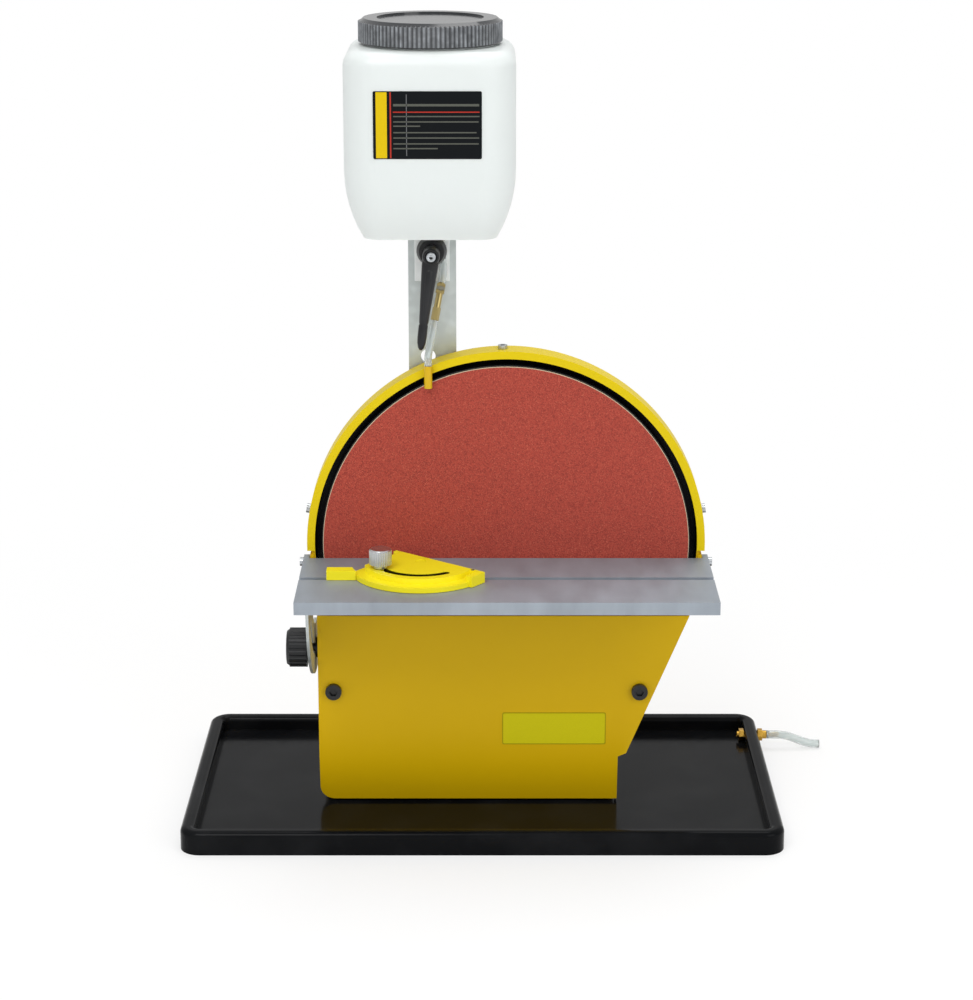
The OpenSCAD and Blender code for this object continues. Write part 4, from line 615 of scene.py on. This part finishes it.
class DISCGRINDER_OT_tray(bpy.types.Operator):
    """Finishes the drip tray and its drain"""

    bl_idname = "disc_grinder.tray"
    bl_label = "Drip tray"

    def execute(self, context):
        sheet = moulded_black("vacuum_formed_tray", colours().tray, 0.12, 0.9, shine=0.06)
        dress(sheet, "drip_tray", edge=0.8, segments=3)
        dress(bare_metal("turned_brass", "#d2a548", 0.28), "drain_fitting", "drain_nut", edge=0.25)
        return {"FINISHED"}


class DISCGRINDER_OT_housing(bpy.types.Operator):
    """Finishes the sheet metal housing, its cover and the guard hood"""

    bl_idname = "disc_grinder.housing"
    bl_label = "Housing"

    def execute(self, context):
        body = powder_coat("yellow_powder_coat", colours().cover, black_inside=True)
        dress(body, "disc_housing", "base_plate", "rear_housing", edge=0.35)
        dress(body, "front_cover", edge=0.6, segments=3)
        dress(powder_coat("lemon_powder_coat", colours().hood), "guard_hood", edge=0.7, segments=3)
        dress(moulded_black("blackened_steel", "#17181a", 0.3, 0.5), "cover_screws", "rear_screws", edge=0.3)
        dress(bare_metal("zinc_plated_steel", "#c6cace", 0.3), "hood_screws", "pivot_screws", edge=0.2)
        dress(moulded_black("foot_rubber", "#141414", 0.6, 0.9), "rubber_feet", edge=0.4)
        return {"FINISHED"}


class DISCGRINDER_OT_disc(bpy.types.Operator):
    """Finishes the grinding disc and its abrasive sheet"""

    bl_idname = "disc_grinder.disc"
    bl_label = "Grinding disc"

    def execute(self, context):
        dress(abrasive_paper(), "abrasive_sheet", edge=0)
        dress(moulded_black("black_anodised_disc", "#101113", 0.38, 0.8), "grinding_disc", edge=0.4)
        dress(bare_metal("steel_disc_screw", "#b9bdc1", 0.3), "disc_screw", edge=0.2)
        return {"FINISHED"}


class DISCGRINDER_OT_table(bpy.types.Operator):
    """Finishes the work table and its tilt clamp"""

    bl_idname = "disc_grinder.table"
    bl_label = "Work table"

    def execute(self, context):
        dress(milled_aluminium(), "work_table", edge=0.7, segments=3)
        dress(zinc_sheet("quadrant_zinc", colours().zinc), "tilt_quadrant", edge=0.3)
        dress(bare_metal("quadrant_screw_steel", "#c6cace", 0.3), "quadrant_screws", edge=0.2)
        knob = moulded_black("glass_filled_nylon", "#111214", 0.4, 0.6)
        dress(knob, "tilt_knob", "tilt_bolt", edge=0.35)
        return {"FINISHED"}


class DISCGRINDER_OT_gauge(bpy.types.Operator):
    """Finishes the mitre gauge"""

    bl_idname = "disc_grinder.gauge"
    bl_label = "Mitre gauge"

    def execute(self, context):
        slotted = cast_enamel("slotted_cast_enamel", colours().gauge, slotted=True)
        dress(slotted, "gauge_head", edge=0.5, segments=3)
        plain = cast_enamel("yellow_cast_enamel", colours().gauge)
        dress(plain, "gauge_bar", "gauge_pivot", edge=0.5, segments=3)
        dress(bare_metal("knurled_aluminium", "#d6d8da", 0.3), "gauge_knob", edge=0.2)
        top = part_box("gauge_head")[1].z / MM
        bm = bmesh.new()
        x, y = -6.3, -72.4
        rings = ((-0.4, 1.2), (0.05, 1.2), (0.1, 1.0))
        loft(bm, [(Matrix.Translation((x, y, top + z)), radius, 20) for z, radius in rings])
        dark = moulded_black("pointer_screw_steel", "#1c1d20", 0.35, 0.5)
        piece_from(bm, "pointer_screw", dark, "gauge_head")
        return {"FINISHED"}


class DISCGRINDER_OT_post(bpy.types.Operator):
    """Finishes the post, the bottle's bracket and its clamp"""

    bl_idname = "disc_grinder.post"
    bl_label = "Post and clamp"

    def execute(self, context):
        dress(zinc_sheet("post_zinc", colours().zinc), "support_post", edge=0)
        # The bracket takes the lighter zinc, painted light against the bottle's shadow.
        dress(zinc_sheet("bracket_zinc", colours().painted_light_zinc), "bottle_bracket", edge=0.35)
        dress(bare_metal("post_screw_steel", "#c6cace", 0.3), "post_screws", "clamp_bolt", edge=0.2)
        dress(moulded_black("clamp_nylon", "#121315", 0.34, 0.6), "clamp_boss", edge=0.8, segments=3)
        return {"FINISHED"}


class DISCGRINDER_OT_lever(bpy.types.Operator):
    """Makes the clamping lever, with its ridge, its hub and its screw"""

    bl_idname = "disc_grinder.lever"
    bl_label = "Clamping lever"

    def execute(self, context):
        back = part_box("clamp_lever")[1].y / MM
        pivot, tip = Vector((-33.5, back, 390)), Vector((-40.4, back, 330))
        down = (tip - pivot).normalized()
        across = Vector((0, 1, 0)).cross(down).normalized()

        def section(t, y, half_width, half_depth):
            """A flattened ring across the arm, t of the way from the pivot to the tip."""
            turn = Matrix((across * half_width, Vector((0, half_depth, 0)), down)).transposed().to_4x4()
            return Matrix.Translation(pivot + (tip - pivot) * t - Vector((0, y, 0))) @ turn, 1.0, 28

        def disc(y, radius):
            return Matrix.Translation(pivot - Vector((0, y, 0))) @ Matrix.Rotation(pi / 2, 4, "X"), radius, 40

        bm = bmesh.new()
        arm = (
            (-0.03, 13, 4.4, 2.6), (0.02, 13, 5.3, 3.2), (0.1, 13.1, 5.5, 3.4), (0.3, 13.1, 4.8, 3.3),
            (0.55, 13.3, 3.8, 3.1), (0.74, 13.5, 3.1, 2.9), (0.755, 13.6, 2.7, 2.7), (0.77, 13.6, 3.1, 2.9),
            (0.9, 13.7, 3.1, 2.8), (0.97, 13.8, 2.8, 2.5), (1.02, 13.8, 2.0, 1.9), (1.045, 13.8, 0.9, 0.9),
        )
        loft(bm, [section(*row) for row in arm])
        ridge = (
            (0.13, 15.6, 1.0, 0.5), (0.16, 15.8, 2.3, 1.0), (0.3, 15.8, 2.2, 1.1), (0.6, 15.8, 1.5, 1.0),
            (0.68, 15.7, 1.1, 0.8), (0.71, 15.5, 0.4, 0.4),
        )
        loft(bm, [section(*row) for row in ridge])
        hub = (
            (0, 4.4), (0.2, 5.3), (1.6, 5.6), (14.6, 5.7), (16, 5.4), (16.6, 5.0), (16.7, 4.4), (16.4, 3.9),
            (15, 3.7),
        )
        loft(bm, [disc(*row) for row in hub])
        black = moulded_black("lever_nylon", "#101114", 0.3, 0.6)
        lever = piece_from(bm, "clamping_lever", black, "clamp_lever")
        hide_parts("clamp_lever")
        bm = bmesh.new()
        loft(bm, [disc(*row) for row in ((14.8, 3.3), (16.1, 3.3), (16.5, 2.9), (16.55, 1.6), (15.9, 1.3))])
        zinc = bare_metal("lever_screw_steel", "#c9ced2", 0.28)
        piece_from(bm, "lever_screw", zinc, "clamp_lever")
        return {"FINISHED"}


class DISCGRINDER_OT_bottle(bpy.types.Operator):
    """Finishes the coolant bottle and makes its bare label"""

    bl_idname = "disc_grinder.bottle"
    bl_label = "Coolant bottle"

    def execute(self, context):
        tones = colours()
        dress(milky_polyethylene(), "coolant_bottle", edge=0)
        dress(ribbed_lid(), "bottle_lid", edge=0.12)
        dress(moulded_black("seal_foam", "#c9c7bd", 0.6, 0.6), "lid_seal", edge=0)
        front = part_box("coolant_bottle")[0].y / MM
        ply = sizes().label_thickness / MM
        left, right, low, high = -68.8, -0.1, 460.2, 503.1
        parts = (
            ("label_ground", tones.label, left, right, low, high, 1.0, 1.0),
            ("label_band", tones.label_band, left + 1.8, left + 8.8, low + 0.6, high - 0.6, 0.2, 1.4),
            ("label_upright", tones.label_line, left + 10.6, left + 11.5, low + 0.6, high - 0.6, 0.1, 1.4),
            ("label_rule", "#6d6e70", left + 20.9, left + 21.4, low + 2, high - 2, 0.1, 1.4),
            ("label_level", tones.label_line, left + 12.6, right - 1.5, high - 13.5, high - 12.8, 0.1, 1.4),
        )
        for name, code, x0, x1, z0, z1, corner, layers in parts:
            bm = plate((x0, front - ply * layers, z0), (x1, front, z1), corner, edge=0.03)
            piece_from(bm, name, printed_vinyl(name, code), "bottle_carriage", smooth=False)
        # Plain bars stand where a label carries its lines of text.
        # Each row: height above the ground, thickness and length, in millimetres.
        rows = (
            (493.6, 1.5, 54.2), (486.8, 0.8, 54.4), (483.4, 0.8, 53.8), (480.7, 0.8, 17),
            (476.6, 0.8, 52.5), (473.2, 0.8, 54.2), (469.5, 0.8, 53.9), (466.5, 0.8, 28),
        )
        bm = bmesh.new()
        start = left + 12.8
        for z, tall, reach in rows:
            middle = Vector((start + reach / 2, front - ply * 0.7, z + tall / 2))
            extent = Vector((reach, ply * 1.4, tall))
            bmesh.ops.create_cube(bm, size=1, matrix=Matrix.LocRotScale(middle, None, extent))
        grey = printed_vinyl("label_bars", "#595b54")
        piece_from(bm, "label_bars", grey, "bottle_carriage", smooth=False)
        return {"FINISHED"}


class DISCGRINDER_OT_badge(bpy.types.Operator):
    """Makes the bare badge on the front cover"""

    bl_idname = "disc_grinder.badge"
    bl_label = "Badge"

    def execute(self, context):
        tones = colours()
        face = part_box("front_cover")[0].y / MM
        ply = sizes().badge_thickness / MM
        for name, code, inset, layers in (
            ("badge_border", "#a89a06", 0, 0.7),
            ("badge_field", tones.badge, 0.7, 1.0),
        ):
            low = (13.5 + inset, face - ply * layers, 51.1 + inset)
            bm = plate(low, (84.5 - inset, face, 74.4 - inset), 1.2, edge=0.05)
            piece_from(bm, name, printed_vinyl(name, code), "machine", smooth=False)
        return {"FINISHED"}


class DISCGRINDER_OT_feed(bpy.types.Operator):
    """Finishes the outlet, tubes, valve and nozzle"""

    bl_idname = "disc_grinder.feed"
    bl_label = "Coolant feed"

    def execute(self, context):
        dress(bare_metal("feed_brass", "#b9a66f", 0.3), "bottle_outlet", "outlet_nut", "valve_body", edge=0.2)
        dress(bare_metal("tap_nickel", "#9c998a", 0.3), "valve_tap", edge=0.2)
        dress(clear_vinyl(), "inlet_tube", "supply_tube", edge=0)
        dress(cast_enamel("nozzle_enamel", colours().cover), "coolant_nozzle", edge=0.2)
        return {"FINISHED"}


class DISCGRINDER_OT_back(bpy.types.Operator):
    """Finishes the port, switch, dial and cord gland"""

    bl_idname = "disc_grinder.back"
    bl_label = "Back and controls"

    def execute(self, context):
        black = moulded_black("control_plastic", "#17181b", 0.36, 0.6)
        dress(black, "extraction_port", "switch_frame", "speed_dial", "cord_gland", edge=0.4)
        dress(moulded_black("green_rocker", "#1e7a3a", 0.3, 0.6), "power_rocker", edge=0.4)
        return {"FINISHED"}


class DISCGRINDER_OT_inside(bpy.types.Operator):
    """Finishes the drive inside the rear housing"""

    bl_idname = "disc_grinder.inside"
    bl_label = "Drive"

    def execute(self, context):
        steel = bare_metal("machined_steel", "#a9adb1", 0.34)
        dress(steel, "spindle", "spindle_housing", "front_bearing", "rear_bearing", "driven_pulley", edge=0.3)
        dress(steel, "motor_shaft", "motor_pulley", "motor_plate", "drive_screws", edge=0.2)
        dress(moulded_black("motor_enamel", "#202124", 0.4, 0.8), "motor_case", edge=0.5)
        dress(moulded_black("belt_rubber", "#151515", 0.6, 0.8), "drive_belt", edge=0.2)
        dress(zinc_sheet("support_zinc", colours().zinc), "support_brackets", edge=0.3)
        dress(moulded_black("board_laminate", "#2c6a3c", 0.4, 0.6), "control_board", edge=0.1)
        return {"FINISHED"}


class DISCGRINDER_OT_stage(bpy.types.Operator):
    """Makes the white floor, the lamps and the world"""

    bl_idname = "disc_grinder.stage"
    bl_label = "Stage"

    def execute(self, context):
        scene = context.scene
        scene.view_settings.view_transform = "Standard"
        bm = bmesh.new()
        bmesh.ops.create_grid(bm, x_segments=1, y_segments=1, size=sizes().floor)
        mesh = bpy.data.meshes.new("floor")
        bm.to_mesh(mesh)
        bm.free()
        floor = bpy.data.objects.new("floor", mesh)
        scene.collection.objects.link(floor)
        material = bpy.data.materials.new("white_paper_floor")
        material.use_nodes = True
        tree = material.node_tree
        tree.nodes.clear()
        matt = add(tree, "ShaderNodeBsdfDiffuse", {"Color": (0.92, 0.92, 0.92, 1)})
        glow = add(tree, "ShaderNodeEmission", {"Color": (1, 1, 1, 1), "Strength": 1.0})
        spot = add(tree, "ShaderNodeTexCoord").outputs["Object"]
        away = add(tree, "ShaderNodeVectorMath", {0: spot}, operation="LENGTH").outputs["Value"]
        # The floor keeps the shadow near the tray and is plain white further off.
        level = add(
            tree,
            "ShaderNodeMapRange",
            {"Value": away, "From Min": 0.3, "From Max": 0.75, "To Min": 0.6, "To Max": 1.0},
        )
        factors = {0: seen_directly(tree), 1: level.outputs[0]}
        share = add(tree, "ShaderNodeMath", factors, operation="MULTIPLY")
        mixed = add(
            tree, "ShaderNodeMixShader", {0: share.outputs[0], 1: matt.outputs[0], 2: glow.outputs[0]}
        )
        add(tree, "ShaderNodeOutputMaterial", {"Surface": mixed.outputs[0]})
        mesh.materials.append(material)
        for name, place, aim, width, power in (
            ("key", (-0.6, -1.4, 1.9), (0, 0, 0.25), 1.0, 17),
            ("fill", (1.3, -1.4, 1.0), (0, 0, 0.25), 1.2, 8),
            ("top", (0.2, 0.5, 1.9), (0, 0, 0.2), 1.0, 9),
        ):
            data = bpy.data.lights.new(name, "AREA")
            data.shape = "SQUARE"
            data.size = width
            data.energy = power
            lamp = bpy.data.objects.new(name, data)
            lamp.location = place
            lamp.rotation_euler = (Vector(aim) - Vector(place)).to_track_quat("-Z", "Y").to_euler()
            scene.collection.objects.link(lamp)
        world = bpy.data.worlds.new("studio")
        scene.world = world
        world.use_nodes = True
        tree = world.node_tree
        tree.nodes.clear()
        level = add(tree, "ShaderNodeMapRange", {"Value": seen_directly(tree), "To Min": 0.7, "To Max": 1.0})
        sky = add(tree, "ShaderNodeBackground", {"Color": (1, 1, 1, 1), "Strength": level.outputs[0]})
        add(tree, "ShaderNodeOutputWorld", {"Surface": sky.outputs[0]})
        return {"FINISHED"}


OPERATORS = (
    DISCGRINDER_OT_camera,
    DISCGRINDER_OT_drain_hose,
    DISCGRINDER_OT_tray,
    DISCGRINDER_OT_housing,
    DISCGRINDER_OT_disc,
    DISCGRINDER_OT_table,
    DISCGRINDER_OT_gauge,
    DISCGRINDER_OT_post,
    DISCGRINDER_OT_lever,
    DISCGRINDER_OT_bottle,
    DISCGRINDER_OT_badge,
    DISCGRINDER_OT_feed,
    DISCGRINDER_OT_back,
    DISCGRINDER_OT_inside,
    DISCGRINDER_OT_stage,
)


class DISCGRINDER_PT_panel(bpy.types.Panel):
    """Lists the grinder's pieces"""

    bl_idname = "DISCGRINDER_PT_panel"
    bl_label = "Disc grinder"
    bl_space_type = "VIEW_3D"
    bl_region_type = "UI"
    bl_category = "Grinder"

    def draw(self, context):
        for group in (context.scene.disc_grinder_sizes, context.scene.disc_grinder_colours):
            box = self.layout.box()
            for name in group.__annotations__:
                box.prop(group, name)
        for operator in OPERATORS:
            self.layout.operator(operator.bl_idname)


CLASSES = (DISCGRINDER_PG_sizes, DISCGRINDER_PG_colours, *OPERATORS, DISCGRINDER_PT_panel)


def register():
    for made in CLASSES:
        bpy.utils.register_class(made)
    bpy.types.Scene.disc_grinder_sizes = PointerProperty(type=DISCGRINDER_PG_sizes)
    bpy.types.Scene.disc_grinder_colours = PointerProperty(type=DISCGRINDER_PG_colours)


def unregister():
    del bpy.types.Scene.disc_grinder_colours
    del bpy.types.Scene.disc_grinder_sizes
    for made in reversed(CLASSES):
        bpy.utils.unregister_class(made)


def main():
    register()
    for operator in OPERATORS:
        getattr(bpy.ops.disc_grinder, operator.bl_idname.split(".")[1])()


if __name__ == "__main__":
    main()
